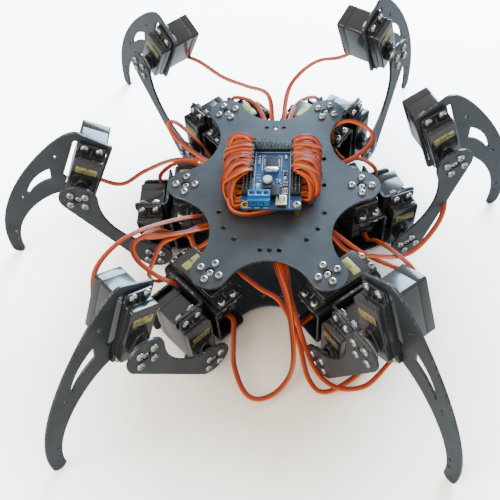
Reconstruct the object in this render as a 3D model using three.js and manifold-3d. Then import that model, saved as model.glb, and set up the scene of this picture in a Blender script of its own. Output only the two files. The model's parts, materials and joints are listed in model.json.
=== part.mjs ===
// Hexapod walking robot: two star-shaped plates, six three-servo legs with claws, and a servo controller.
// Units are millimetres, +Z is up. The origin is the centre of the bottom plate's underside.
// X points to the robot's right and Y to its back. The robot crouches low, with all six claw tips on the floor.
import * as THREE from "three";
import * as BufferGeometryUtils from "three/addons/utils/BufferGeometryUtils.js";
import Module from "manifold-3d";

const wasm = await Module();
wasm.setup();

// ---- driving dimensions -------------------------------------------------------------------------

const GAP = 0.3; // clearance between pieces that are bolted together
const SHEET = 2; // thickness of every aluminium sheet piece
const SMALL_HOLE_R = 1.6; // M3 clearance hole
const SMALL_SIDES = 6; // facets of a small screw hole in bent sheet
const BEARING_SIDES = 12; // facets of the bearing hole in bent sheet
const ROUND_SIDES = 18; // facets of a larger round feature
const PLATE_STEPS = 4; // segments of each curve in a flat outline
const THIGH_STEPS = 5;
const CUT = 1; // how far a cutting body reaches past the surface it cuts

const BELLY_HEIGHT = 6.6; // underside of the bottom plate above the floor
const BEARING_RIM = 1; // keeps the rear flange of a coxa bracket off the bottom plate
const CORNER_LOBE = { x: 39, y: 76 }; // coxa axis of a corner leg
const SIDE_LOBE_X = 64; // coxa axis of a middle leg
const LOBE_R = 13.5;
const FRONT_ARC_R = 31; // concave edge between the two front or two back lobes
const SIDE_ARC_R = 34.5; // concave edge between a corner lobe and a middle lobe
const HORN_HUB_R = 3.2; // opening over the horn's centre screw

// M3 holes of both plates in the quarter where neither x nor y is negative; the other quarters mirror it.
const PLATE_HOLES = [[0, 58], [6.5, 58], [37.2, 25.5], [27.5, 18.5], [32.6, 39.6], [24.8, 49], [37, 0]];
const CABLE_OPENING = { length: 26, width: 14 }; // in the top plate, hidden under the board

const SERVO = {
  length: 40.7,
  width: 19.8,
  belowTabs: 27,
  aboveTabs: 10,
  shaftFromCentre: 10,
  tabThickness: 2.5,
  tabSpan: 54.5,
  tabWidth: 18.4,
  holeSpan: 49.5,
  holePitch: 10,
  bossR: 6.5,
  bossHeight: 5,
};
const HORN = { r: 9.9, thickness: 2.5 };
const HORN_TOP = SERVO.aboveTabs + SERVO.bossHeight + HORN.thickness; // above the tab plane

const BRACKET = {
  length: 56, // along the servo
  height: 37.5, // from the ears to the rear flange
  depth: 25, // of the ears and the flange
  webFromServo: 14, // outer face of the web to the servo's middle plane
  servoSlot: 41.3,
  rearLength: 41, // the rear flange is shorter than the web
  bearingR: 4,
};

const THIGH = { length: 80, endR: 13.5, waist: 2.2, waistR: 44 };

const CLAW = {
  edgeX: -12.5, // edge of the plate on the body side
  bottomZ: -18,
  bottomX: 8, // end of the straight bottom edge
  topZ: 39.5,
  crest: { x: 12, z: 43 }, // highest point
  shoulder: { x: 36.5, z: 1 }, // outermost point beside the servo
  tip: { x: 31, z: -106, r: 5, tilt: -26.8 }, // tilt of the line across the round tip, in degrees
  innerBend: [27, -32, 41, -75], // curve handles from the bottom edge to the tip
  outerBend: [52, -76, 48, -35], // from the tip to the shoulder
  upperBend: [31, 18, 21, 43], // from the shoulder to the crest
  window: [[23.5, 0.5], [34, -12], [34, -31], [28.5, -17], [20.5, -9.5]], // corners and handles in turn
  holes: [[22, 14], [36.3, -39], [35.5, -84], [32.8, -93]],
  holeR: 1.3,
  sideSlot: { width: 3, bottomZ: -3, topZ: 35.5, corner: 1.5 }, // beside the servo, open towards it
};

// Rest pose of each leg: yaw of the leg and elevation of the thigh, in degrees.
const LEGS = [
  { name: "front_left", x: -CORNER_LOBE.x, y: -CORNER_LOBE.y, yaw: 226.5, thigh: 57 },
  { name: "middle_left", x: -SIDE_LOBE_X, y: 0, yaw: 182.5, thigh: 58.5 },
  { name: "back_left", x: -CORNER_LOBE.x, y: CORNER_LOBE.y, yaw: 132.5, thigh: 52 },
  { name: "front_right", x: CORNER_LOBE.x, y: -CORNER_LOBE.y, yaw: -51.5, thigh: 63.5 },
  { name: "middle_right", x: SIDE_LOBE_X, y: 0, yaw: 23.5, thigh: 72 },
  { name: "back_right", x: CORNER_LOBE.x, y: CORNER_LOBE.y, yaw: 57, thigh: 66.5 },
];

const BOARD = { width: 42, length: 63.5, thickness: 1.6, y: 1.2, standoff: 8.4, holeInset: 2.8 };
const TERMINAL = { x: -8.2, y: -23.5, width: 15.4, depth: 9, height: 7 };
const BUNDLE = {
  inner: 16.5,
  outer: 35,
  top: 15, // above the board
  yFront: -27,
  yBack: 32,
  besideBoard: 1.5,
  outerSide: 0.6, // share of the full height at which the outer side starts to round over
  innerSide: 0.7,
};

// ---- derived places -----------------------------------------------------------------------------

const TAB_PLANE_Z = -(HORN_TOP + GAP); // coxa servo tab plane, from the top plate's underside
const WEB_CENTRE_Z = TAB_PLANE_Z - GAP - BRACKET.height / 2;
const HIP_R = 2 * BRACKET.webFromServo + GAP; // coxa axis to hip axis, outwards
const HIP_Z = WEB_CENTRE_Z - SERVO.shaftFromCentre; // from the top plate's underside
const TAB_PLANE_T = BRACKET.height / 2 + GAP - SERVO.shaftFromCentre; // hip servo tab plane, along the hip axis
const TOP_PLATE_Z = SHEET + BEARING_RIM + BRACKET.height + GAP - TAB_PLANE_Z; // underside of the top plate
const BOARD_Z = TOP_PLATE_Z + SHEET + BOARD.standoff;

// ---- solids -------------------------------------------------------------------------------------

function toSolid(geometry) {
  const plain = geometry.index ? geometry.toNonIndexed() : geometry.clone();
  plain.deleteAttribute("normal");
  plain.deleteAttribute("uv");
  const merged = BufferGeometryUtils.mergeVertices(plain, 1e-4);
  return new wasm.Manifold(
    new wasm.Mesh({
      numProp: 3,
      vertProperties: new Float32Array(merged.attributes.position.array),
      triVerts: new Uint32Array(merged.index.array),
    }),
  );
}

function toGeometry(solid) {
  const mesh = solid.getMesh();
  const geometry = new THREE.BufferGeometry();
  geometry.setAttribute("position", new THREE.BufferAttribute(mesh.vertProperties, 3));
  geometry.setIndex(new THREE.BufferAttribute(mesh.triVerts, 1));
  return geometry;
}

// Box between two corners.
function block(x0, y0, z0, x1, y1, z1) {
  const geometry = new THREE.BoxGeometry(x1 - x0, y1 - y0, z1 - z0);
  geometry.translate((x0 + x1) / 2, (y0 + y1) / 2, (z0 + z1) / 2);
  return toSolid(geometry);
}

// Round bar along +Z.
function bar(radius, x, y, z0, z1, sides = ROUND_SIDES) {
  const geometry = new THREE.CylinderGeometry(radius, radius, z1 - z0, sides);
  geometry.rotateX(Math.PI / 2);
  geometry.translate(x, y, (z0 + z1) / 2);
  return toSolid(geometry);
}

function plateFrom(shape, thickness, curveSegments) {
  return new THREE.ExtrudeGeometry(shape, { depth: thickness, bevelEnabled: false, curveSegments });
}

function roundHole(x, y, radius) {
  const path = new THREE.Path();
  path.absarc(x, y, radius, 0, 2 * Math.PI, true);
  return path;
}

// ---- chassis ------------------------------------------------------------------------------------

const LOBES = [
  [SIDE_LOBE_X, 0],
  [CORNER_LOBE.x, CORNER_LOBE.y],
  [-CORNER_LOBE.x, CORNER_LOBE.y],
  [-SIDE_LOBE_X, 0],
  [-CORNER_LOBE.x, -CORNER_LOBE.y],
  [CORNER_LOBE.x, -CORNER_LOBE.y],
];

// Star outline: round lobes joined by concave arcs that are tangent to them.
function starShape() {
  const shape = new THREE.Shape();
  LOBES.forEach(([x, y], i) => {
    const before = concaveArc(LOBES[(i + 5) % 6], [x, y]);
    const after = concaveArc([x, y], LOBES[(i + 1) % 6]);
    shape.absarc(x, y, LOBE_R, before.toEnd, after.toStart, false);
    shape.absarc(after.cx, after.cy, after.r, after.toStart + Math.PI, after.toEnd + Math.PI, true);
  });
  return shape;
}

// Centre and tangent directions of the concave arc between two neighbouring lobes.
function concaveArc([x0, y0], [x1, y1]) {
  const r = Math.abs(y1 - y0) < 1 ? FRONT_ARC_R : SIDE_ARC_R;
  const half = Math.hypot(x1 - x0, y1 - y0) / 2;
  const out = Math.sqrt((r + LOBE_R) ** 2 - half ** 2);
  const mx = (x0 + x1) / 2;
  const my = (y0 + y1) / 2;
  const cx = mx + (out * (y1 - y0)) / (2 * half);
  const cy = my - (out * (x1 - x0)) / (2 * half);
  return { cx, cy, r, toStart: Math.atan2(cy - y0, cx - x0), toEnd: Math.atan2(cy - y1, cx - x1) };
}

// Star shape with the M3 holes across its middle and one hole in each lobe.
function drilledStar(lobeHoleR) {
  const shape = starShape();
  for (const [x, y] of PLATE_HOLES) {
    for (const sx of x === 0 ? [1] : [-1, 1]) {
      for (const sy of y === 0 ? [1] : [-1, 1]) shape.holes.push(roundHole(sx * x, sy * y, SMALL_HOLE_R));
    }
  }
  for (const [x, y] of LOBES) shape.holes.push(roundHole(x, y, lobeHoleR));
  return shape;
}

function topPlate() {
  const shape = drilledStar(HORN_HUB_R);
  const opening = new THREE.Path();
  const endR = CABLE_OPENING.width / 2;
  const endX = CABLE_OPENING.length / 2 - endR;
  opening.absarc(endX, 0, endR, -Math.PI / 2, Math.PI / 2, false);
  opening.absarc(-endX, 0, endR, Math.PI / 2, 1.5 * Math.PI, false);
  shape.holes.push(opening);
  return plateFrom(shape, SHEET, PLATE_STEPS);
}

function bottomPlate() {
  return plateFrom(drilledStar(SMALL_HOLE_R), SHEET, PLATE_STEPS);
}

function controllerBoard() {
  const half = BOARD.width / 2;
  const front = -BOARD.length / 2;
  const shape = new THREE.Shape();
  shape.moveTo(-half, front);
  shape.lineTo(half, front);
  shape.lineTo(half, -front);
  shape.lineTo(-half, -front);
  for (const sx of [-1, 1]) {
    for (const sy of [-1, 1]) {
      const x = sx * (half - BOARD.holeInset);
      const y = sy * (-front - BOARD.holeInset);
      shape.holes.push(roundHole(x, y, SMALL_HOLE_R));
    }
  }
  return plateFrom(shape, BOARD.thickness, PLATE_STEPS);
}

// Cable bundle: it rises from the plugs on the board, arches over the board's edge and drops to the plate.
function cableBundle(side) {
  const clearOfBoard = BOARD.width / 2 + BUNDLE.besideBoard;
  const boardTop = BOARD.standoff + BOARD.thickness + GAP;
  const crown = boardTop + BUNDLE.top;
  const shape = new THREE.Shape();
  shape.moveTo(clearOfBoard, GAP);
  shape.lineTo(BUNDLE.outer, GAP);
  shape.lineTo(BUNDLE.outer, crown * BUNDLE.outerSide);
  shape.quadraticCurveTo(BUNDLE.outer, crown, (BUNDLE.outer + BUNDLE.inner) / 2, crown);
  shape.quadraticCurveTo(BUNDLE.inner, crown, BUNDLE.inner, crown * BUNDLE.innerSide);
  shape.lineTo(BUNDLE.inner, boardTop);
  shape.lineTo(clearOfBoard, boardTop);
  const geometry = plateFrom(shape, BUNDLE.yBack - BUNDLE.yFront, PLATE_STEPS);
  geometry.rotateX(Math.PI / 2);
  geometry.translate(0, BUNDLE.yBack, 0);
  if (side > 0) return geometry;
  geometry.scale(-1, 1, 1);
  return flipFaces(geometry);
}

// A mirrored geometry has its faces inside out, so each triangle's corners change order.
function flipFaces(geometry) {
  const flat = geometry.index ? geometry.toNonIndexed() : geometry;
  const p = flat.attributes.position;
  for (let i = 0; i < p.count; i += 3) {
    const [x, y, z] = [p.getX(i), p.getY(i), p.getZ(i)];
    p.setXYZ(i, p.getX(i + 2), p.getY(i + 2), p.getZ(i + 2));
    p.setXYZ(i + 2, x, y, z);
  }
  return flat;
}

// ---- leg pieces ---------------------------------------------------------------------------------
// Servo frame: the shaft axis is +Z through the origin, the tabs rest on z = 0 and the case runs to -X.

function servo(withHorn) {
  const middle = -SERVO.shaftFromCentre;
  const halfLength = SERVO.length / 2;
  const halfWidth = SERVO.width / 2;
  const top = SERVO.aboveTabs;
  let solid = block(middle - halfLength, -halfWidth, -SERVO.belowTabs, middle + halfLength, halfWidth, top);
  const span = SERVO.tabSpan / 2;
  const tabHalf = SERVO.tabWidth / 2;
  solid = solid.add(block(middle - span, -tabHalf, 0, middle + span, tabHalf, SERVO.tabThickness));
  solid = solid.add(bar(SERVO.bossR, 0, 0, top - CUT, top + SERVO.bossHeight));
  if (withHorn) solid = solid.add(bar(HORN.r, 0, 0, top + SERVO.bossHeight - GAP, HORN_TOP));
  return toGeometry(solid);
}

// Horn disc in the servo frame, just above the output boss.
function hornDisc() {
  return toGeometry(bar(HORN.r, 0, 0, SERVO.aboveTabs + SERVO.bossHeight + GAP, HORN_TOP));
}

// Bent sheet channel in the servo frame. webSide is the side of the servo that the web stands on, +1 or -1.
function bracket(webSide) {
  const middle = -SERVO.shaftFromCentre;
  const half = BRACKET.length / 2;
  const earTop = -GAP;
  const rear = earTop - BRACKET.height;
  const web = BRACKET.webFromServo;
  const mouth = web - BRACKET.depth;
  const shaftEnd = middle + half;
  let solid = block(middle - half, web - SHEET, rear, shaftEnd, web, earTop);
  solid = solid.add(block(middle - half, mouth, earTop - SHEET, shaftEnd, web, earTop));
  solid = solid.add(block(shaftEnd - BRACKET.rearLength, mouth, rear, shaftEnd, web, rear + SHEET));
  const slot = BRACKET.servoSlot / 2;
  const slotBack = SERVO.width / 2 + GAP;
  const earBelow = earTop - SHEET - CUT;
  solid = solid.subtract(block(middle - slot, mouth - CUT, earBelow, middle + slot, slotBack, earTop + CUT));
  for (const end of [-1, 1]) {
    for (const side of [-1, 1]) {
      const x = middle + (end * SERVO.holeSpan) / 2;
      const y = (side * SERVO.holePitch) / 2;
      solid = solid.subtract(bar(SMALL_HOLE_R, x, y, earBelow, earTop + CUT, SMALL_SIDES));
    }
  }
  solid = solid.subtract(bar(BRACKET.bearingR, 0, 0, rear - CUT, rear + SHEET + CUT, BEARING_SIDES));
  if (webSide < 0) solid = solid.mirror([0, 1, 0]);
  return toGeometry(solid);
}

// Plates of the leg are drawn in the leg's own plane (x outwards, z up) and stand across the hip axis.
function uprightPlate(shape, thickness, curveSegments) {
  const geometry = plateFrom(shape, thickness, curveSegments);
  geometry.rotateX(Math.PI / 2);
  geometry.translate(0, thickness, 0);
  return geometry;
}

// Thigh plate: the hip is at the origin and the knee at +X. One long edge is straight, the other is waisted.
function thighPlate() {
  const { length, endR, waist, waistR } = THIGH;
  const shape = new THREE.Shape();
  const waistZ = waist + waistR;
  const half = length / 2;
  const tangent = Math.atan2(waistZ, half);
  const reach = Math.hypot(waistZ, half);
  const waistArcR = reach - endR;
  shape.absarc(length, 0, endR, -Math.PI / 2, Math.PI - tangent, false);
  shape.absarc(half, waistZ, waistArcR, -tangent, tangent - Math.PI, true);
  shape.absarc(0, 0, endR, tangent, 1.5 * Math.PI, false);
  for (const x of [0, length]) shape.holes.push(roundHole(x, 0, HORN_HUB_R));
  return uprightPlate(shape, SHEET, THIGH_STEPS);
}

// Opening of the claw plate for the servo case, with a narrow slot beside its outward side.
function servoOpening() {
  const { width, bottomZ, topZ, corner } = CLAW.sideSlot;
  const side = SERVO.width / 2 + GAP;
  const slotX = side + width;
  const bottom = SERVO.shaftFromCentre - BRACKET.servoSlot / 2;
  const top = SERVO.shaftFromCentre + BRACKET.servoSlot / 2;
  const opening = new THREE.Path();
  opening.moveTo(-side, bottom);
  opening.lineTo(-side, top);
  opening.lineTo(side, top);
  opening.lineTo(side, topZ);
  opening.lineTo(slotX - corner, topZ);
  opening.lineTo(slotX, topZ - corner);
  opening.lineTo(slotX, bottomZ + corner);
  opening.lineTo(slotX - corner, bottomZ);
  opening.lineTo(side, bottomZ);
  opening.lineTo(side, bottom);
  return opening;
}

// Claw plate: the knee is at the origin. A curved claw hangs outwards and down from the servo frame.
function clawPlate() {
  const { edgeX, bottomZ, bottomX, topZ, crest, shoulder, tip } = CLAW;
  const tilt = THREE.MathUtils.degToRad(tip.tilt);
  const innerX = tip.x - tip.r * Math.cos(tilt);
  const innerZ = tip.z - tip.r * Math.sin(tilt);
  const shape = new THREE.Shape();
  shape.moveTo(edgeX, bottomZ);
  shape.lineTo(bottomX, bottomZ);
  shape.bezierCurveTo(...CLAW.innerBend, innerX, innerZ);
  shape.absarc(tip.x, tip.z, tip.r, tilt + Math.PI, tilt + 2 * Math.PI, false);
  shape.bezierCurveTo(...CLAW.outerBend, shoulder.x, shoulder.z);
  shape.bezierCurveTo(...CLAW.upperBend, crest.x, crest.z);
  shape.lineTo(edgeX, topZ);
  shape.holes.push(servoOpening());

  const [start, outerHandle, tail, innerHandle, innerCorner] = CLAW.window;
  const window = new THREE.Path();
  window.moveTo(...start);
  window.quadraticCurveTo(...outerHandle, ...tail);
  window.quadraticCurveTo(...innerHandle, ...innerCorner);
  shape.holes.push(window);

  for (const [x, z] of CLAW.holes) shape.holes.push(roundHole(x, z, CLAW.holeR));
  for (const end of [-1, 1]) {
    for (const side of [-1, 1]) {
      const x = (side * SERVO.holePitch) / 2;
      const z = SERVO.shaftFromCentre + (end * SERVO.holeSpan) / 2;
      shape.holes.push(roundHole(x, z, SMALL_HOLE_R));
    }
  }
  return uprightPlate(shape, SHEET, PLATE_STEPS);
}

// ---- assembly -----------------------------------------------------------------------------------

const FINISH = {
  anodised: { color: 0x3a3b40, roughness: 0.45, metalness: 0.75 },
  servoCase: { color: 0x131316, roughness: 0.3, metalness: 0 },
  bright: { color: 0xc9cacc, roughness: 0.3, metalness: 1 },
  board: { color: 0x1d4f8c, roughness: 0.45, metalness: 0 },
  terminal: { color: 0x2f7fc4, roughness: 0.4, metalness: 0 },
  cable: { color: 0xd9481c, roughness: 0.55, metalness: 0 },
};

function piece(name, geometry, finish, parent) {
  const mesh = new THREE.Mesh(geometry, new THREE.MeshStandardMaterial(FINISH[finish]));
  mesh.name = name;
  parent.add(mesh);
  return mesh;
}

// A group whose axes hold a servo frame: shaft along `shaft`, case running away from `shaftEnd`.
function servoFrame(parent, position, shaft, shaftEnd) {
  const frame = new THREE.Group();
  const basis = new THREE.Matrix4();
  basis.makeBasis(shaftEnd, new THREE.Vector3().crossVectors(shaft, shaftEnd), shaft);
  frame.quaternion.setFromRotationMatrix(basis);
  frame.position.copy(position);
  parent.add(frame);
  return frame;
}

// Tilt of the claw that puts its round tip on the floor, for a thigh elevation in radians.
function clawTilt(elevation) {
  const { tip } = CLAW;
  const kneeHeight = BELLY_HEIGHT + TOP_PLATE_Z + HIP_Z + THIGH.length * Math.sin(elevation);
  const reach = Math.hypot(tip.x, tip.z);
  return Math.acos((kneeHeight - tip.r) / reach) - Math.atan2(tip.x, -tip.z);
}

const OUT = new THREE.Vector3(1, 0, 0);
const ACROSS = new THREE.Vector3(0, 1, 0);
const UP = new THREE.Vector3(0, 0, 1);
const DOWN = new THREE.Vector3(0, 0, -1);

// One leg. In its group X points outwards, Y towards the horn side and Z up; right legs are mirrored.
function addLeg(robot, { name, x, y, yaw, thigh }) {
  const leg = new THREE.Group();
  leg.position.set(x, y, TOP_PLATE_Z);
  leg.rotation.z = THREE.MathUtils.degToRad(yaw);
  if (x > 0) leg.scale.y = -1;
  robot.add(leg);

  const coxa = servoFrame(leg, new THREE.Vector3(0, 0, TAB_PLANE_Z), UP, ACROSS);
  piece(`coxa_servo_${name}`, servo(true), "servoCase", coxa);
  piece(`coxa_bracket_${name}`, bracket(-1), "anodised", coxa);

  const hip = servoFrame(leg, new THREE.Vector3(HIP_R, TAB_PLANE_T, HIP_Z), ACROSS, DOWN);
  piece(`femur_bracket_${name}`, bracket(1), "anodised", hip);
  piece(`femur_servo_${name}`, servo(false), "servoCase", hip);

  const elevation = THREE.MathUtils.degToRad(thigh);
  const femur = new THREE.Group();
  femur.position.set(HIP_R, TAB_PLANE_T, HIP_Z);
  femur.rotation.y = -elevation;
  leg.add(femur);
  const plate = piece(`thigh_plate_${name}`, thighPlate(), "anodised", femur);
  plate.position.y = HORN_TOP + GAP;
  const hipHorn = servoFrame(femur, new THREE.Vector3(), ACROSS, OUT);
  piece(`hip_horn_${name}`, hornDisc(), "bright", hipHorn);

  const tibia = new THREE.Group();
  tibia.position.set(THIGH.length, 0, 0);
  tibia.rotation.y = elevation - clawTilt(elevation);
  femur.add(tibia);
  const knee = servoFrame(tibia, new THREE.Vector3(), ACROSS, DOWN);
  piece(`knee_horn_${name}`, hornDisc(), "bright", knee);
  piece(`tibia_servo_${name}`, servo(false), "servoCase", knee);
  const claw = piece(`claw_${name}`, clawPlate(), "anodised", tibia);
  claw.position.y = -GAP - SHEET;
}

const group = new THREE.Group();
piece("top_plate", topPlate(), "anodised", group).position.z = TOP_PLATE_Z;
piece("bottom_plate", bottomPlate(), "anodised", group);
piece("controller_board", controllerBoard(), "board", group).position.set(0, BOARD.y, BOARD_Z);
const terminalBox = new THREE.BoxGeometry(TERMINAL.width, TERMINAL.depth, TERMINAL.height);
const terminalZ = BOARD_Z + BOARD.thickness + GAP + TERMINAL.height / 2;
piece("terminal_block", terminalBox, "terminal", group).position.set(TERMINAL.x, TERMINAL.y, terminalZ);
piece("cable_bundle_left", cableBundle(-1), "cable", group).position.z = TOP_PLATE_Z + SHEET;
piece("cable_bundle_right", cableBundle(1), "cable", group).position.z = TOP_PLATE_Z + SHEET;
for (const leg of LEGS) addLeg(group, leg);

export default group;
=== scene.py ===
"""Visual model of a hexapod spider robot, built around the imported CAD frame.

Shapes are drawn in millimetres in a local frame and placed by a 4x4 matrix in metres.
A leg frame has X outwards, Y towards the horn side and Z up. Right legs are mirror images.
"""
import json
import math
import random

import bmesh
import bpy
from mathutils import Matrix, Vector
from mathutils.geometry import tessellate_polygon


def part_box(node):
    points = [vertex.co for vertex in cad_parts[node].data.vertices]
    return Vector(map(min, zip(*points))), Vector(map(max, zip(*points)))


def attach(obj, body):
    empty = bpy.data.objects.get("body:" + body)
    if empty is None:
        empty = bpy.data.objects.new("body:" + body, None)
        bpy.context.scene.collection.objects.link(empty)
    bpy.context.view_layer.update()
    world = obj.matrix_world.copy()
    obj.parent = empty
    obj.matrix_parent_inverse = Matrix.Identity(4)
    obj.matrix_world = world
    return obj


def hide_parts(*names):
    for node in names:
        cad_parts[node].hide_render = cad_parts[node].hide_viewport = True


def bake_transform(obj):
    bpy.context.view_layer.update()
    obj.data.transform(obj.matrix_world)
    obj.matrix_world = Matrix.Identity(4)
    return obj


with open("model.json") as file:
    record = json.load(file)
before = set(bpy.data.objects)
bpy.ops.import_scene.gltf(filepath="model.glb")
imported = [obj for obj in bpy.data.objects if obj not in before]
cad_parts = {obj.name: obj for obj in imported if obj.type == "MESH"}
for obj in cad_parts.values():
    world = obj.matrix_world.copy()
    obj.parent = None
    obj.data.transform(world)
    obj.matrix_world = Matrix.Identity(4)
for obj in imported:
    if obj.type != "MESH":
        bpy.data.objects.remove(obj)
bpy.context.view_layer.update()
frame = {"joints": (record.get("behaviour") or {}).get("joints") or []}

MM = 0.001
RIGHT_ANGLE = math.pi / 2
QUARTER_TURNS = [k * RIGHT_ANGLE for k in range(4)]
GAP = 0.3  # clearance between bolted pieces
SHEET = 2.0  # thickness of every aluminium sheet piece
SCREW_R = 1.5
THREAD_R = SCREW_R - 0.05  # hole that a screw cuts into
HOLE_R = 1.6  # M3 clearance hole
HEAD_R = 2.8
HEAD_H = 1.9

SERVO_LENGTH, SERVO_WIDTH = 40.7, 19.8
SERVO_BOTTOM, SERVO_TOP = -27.0, 10.0
SHAFT_TO_CENTRE = 10.0
TAB_SPAN, TAB_WIDTH, TAB_THICKNESS = 54.5, 18.4, 2.5
HOLE_SPAN, HOLE_PITCH = 49.5, 10.0
BOSS_TOP = 15.0
HORN_TOP = 17.5
HORN_R = 9.9
HORN_PCD_R = 7.07  # circle of the four screws in a horn
HUB_R = 3.2  # opening over a horn's centre screw

BRACKET_LENGTH, BRACKET_HEIGHT, BRACKET_DEPTH = 56.0, 37.5, 25.0
WEB_Y = 14.0
WEB_HOLE_X, WEB_HOLE_Z = 14, 8
REAR_LENGTH = 41.0
BEND_R = 1.0
BEND_MID_R = BEND_R + SHEET / 2
BEND_RUN = BEND_MID_R * RIGHT_ANGLE  # length of sheet that one bend takes
FLANGE = BRACKET_DEPTH - BEND_R - SHEET
WEB = BRACKET_HEIGHT - 2 * (BEND_R + SHEET)
REAR_Z = -GAP - BRACKET_HEIGHT  # outside of the rear flange, in the servo frame
WIRE_R = 0.66

CHASSIS = "chassis"
LEG_NAMES = [f"{row}_{side}" for side in ("left", "right") for row in ("front", "middle", "back")]
JOINTS = {j["name"]: j for j in frame["joints"]}
TOP_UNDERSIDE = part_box("top_plate")[0].z / MM
BOTTOM_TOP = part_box("bottom_plate")[1].z / MM
DECK_TOP = TOP_UNDERSIDE + SHEET
FLOOR_Z = min(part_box(f"claw_{name}")[0].z for name in LEG_NAMES)
TAB_PLANE_Z = -(HORN_TOP + GAP)
TAB_PLANE_T = BRACKET_HEIGHT / 2 + GAP - SHAFT_TO_CENTRE
LOBE_R, FRONT_ARC_R, SIDE_ARC_R = 13.5, 31.0, 34.5
DECK_OPENING = (26.0, 14.0)
CLAW_TIP, CLAW_TIP_R, CLAW_TIP_TILT = (31.0, -106.0), 5.0, math.radians(-26.8)
UPSIDE_DOWN = Matrix.Rotation(math.pi, 4, "X")
UPRIGHT = Matrix(((1, 0, 0, 0), (0, 0, -1, 0), (0, 1, 0, 0), (0, 0, 0, 1)))  # drawn XY becomes XZ


# ---- materials ----------------------------------------------------------------------------------

def node_material(name):
    material = bpy.data.materials.new(name)
    material.use_nodes = True
    tree = material.node_tree
    return material, tree, tree.nodes["Principled BSDF"]


def add_node(tree, kind, **inputs):
    """A shader node whose named inputs are set to values or linked to other nodes' outputs."""
    node = tree.nodes.new(f"ShaderNode{kind}")
    for name, value in inputs.items():
        feed(tree, node.inputs[name.replace("_", " ")], value)
    return node


def feed(tree, socket, value):
    if isinstance(value, bpy.types.NodeSocket):
        tree.links.new(value, socket)
    else:
        socket.default_value = value


def coordinates(tree):
    return add_node(tree, "TexCoord").outputs["Object"]


def noise(tree, scale, detail=3.0, stretch=None):
    """Cloudy grey pattern: scale is cells per metre."""
    source = coordinates(tree)
    if stretch:
        source = add_node(tree, "Mapping", Scale=stretch, Vector=source).outputs["Vector"]
    return add_node(tree, "TexNoise", Scale=scale, Detail=detail, Vector=source).outputs["Fac"]


def ramp(tree, source, low, high, start=0.35, end=0.65):
    """Maps a factor to a colour or grey between two stops."""
    node = add_node(tree, "ValToRGB", Fac=source)
    stops = node.color_ramp.elements
    stops[0].position, stops[1].position = start, end
    stops[0].color, stops[1].color = rgba(low), rgba(high)
    return node.outputs["Color"]


def rgba(value):
    if isinstance(value, (int, float)):
        return (value, value, value, 1)
    return (*value, 1)


def seen_by_camera(tree, colour, camera_colour):
    """One colour for ordinary light, another for what the camera sees directly."""
    ray = add_node(tree, "LightPath").outputs["Is Camera Ray"]
    return add_node(tree, "MixRGB", Fac=ray, Color1=colour, Color2=camera_colour).outputs["Color"]


def add_bump(tree, shader, source, strength, distance):
    bump = add_node(tree, "Bump", Strength=strength, Distance=distance, Height=source)
    tree.links.new(bump.outputs["Normal"], shader.inputs["Normal"])


def finish(name, low, high, rough, metallic=0.0, grain=900, bump=0.1, coat=0.0, stretch=None):
    """A surface whose colour and roughness vary a little, with a fine grain."""
    material, tree, shader = node_material(name)
    fine = noise(tree, grain, 4.0, stretch)
    feed(tree, shader.inputs["Base Color"], ramp(tree, noise(tree, 60), low, high))
    feed(tree, shader.inputs["Roughness"], ramp(tree, fine, *rough))
    shader.inputs["Metallic"].default_value = metallic
    shader.inputs["Coat Weight"].default_value = coat
    shader.inputs["Coat Roughness"].default_value = 0.12
    add_bump(tree, shader, fine, bump, 0.0002)
    return material


def scuffs_and_edge_highlight(name, base, worn, rough, metallic):
    """Edge finish: the coating is rubbed through in small patches. On the plate and bracket edges the base
    colour is also made lighter than the faces, as a painted edge highlight.
    """
    material, tree, shader = node_material(name)
    patches = noise(tree, 420, 5.0)
    feed(tree, shader.inputs["Base Color"], ramp(tree, patches, base, worn, 0.5, 0.72))
    feed(tree, shader.inputs["Roughness"], ramp(tree, patches, *rough))
    shader.inputs["Metallic"].default_value = metallic
    return material


def board_material():
    """Blue solder mask with fine copper tracks showing through."""
    material, tree, shader = node_material("board_mask")
    brick = add_node(tree, "TexBrick", Scale=260, Mortar_Size=0.06, Vector=coordinates(tree),
                     Color1=rgba((0.008, 0.04, 0.14)), Color2=rgba((0.014, 0.062, 0.2)),
                     Mortar=rgba((0.022, 0.1, 0.28)))
    feed(tree, shader.inputs["Base Color"], brick.outputs["Color"])
    shader.inputs["Roughness"].default_value = 0.32
    add_bump(tree, shader, brick.outputs["Fac"], 0.25, 0.0001)
    return material


ANODISED = finish("anodised_plate", (0.068, 0.074, 0.082), (0.088, 0.095, 0.104), (0.36, 0.46),
                  0.6, 1600, 0.12)
# Plate edges: lighter than the faces as a painted edge highlight, with rubbed-through wear patches.
ANODISED_EDGE_HIGHLIGHT = scuffs_and_edge_highlight("anodised_edge_painted_highlight", (0.10, 0.105, 0.115), (0.20, 0.205, 0.215), (0.24, 0.36), 0.8)
BRACKET_BLACK = finish("bracket_black", (0.02, 0.02, 0.023), (0.03, 0.03, 0.034), (0.3, 0.42),
                       0.45, 1500, 0.12)
# Bracket edges: the base is far lighter than the black faces, a painted edge highlight, with rubbed-through
# wear patches.
BRACKET_EDGE_HIGHLIGHT = scuffs_and_edge_highlight("bracket_edge_painted_highlight", (0.09, 0.09, 0.10), (0.30, 0.30, 0.31), (0.22, 0.36), 0.75)
CASE = finish("servo_case", (0.022, 0.022, 0.022), (0.032, 0.032, 0.033), (0.16, 0.26), 0, 2400, 0.05, 0.8)
CASE_SEAM = finish("servo_seam", 0.003, 0.006, (0.5, 0.7))
GOLD = scuffs_and_edge_highlight("label_gold", (0.62, 0.54, 0.20), (0.07, 0.06, 0.03), (0.28, 0.42), 0.7)
STEEL = finish("screw_steel", (0.55, 0.54, 0.52), (0.78, 0.77, 0.75), (0.14, 0.3), 1.0, 1500, 0.1)
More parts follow.
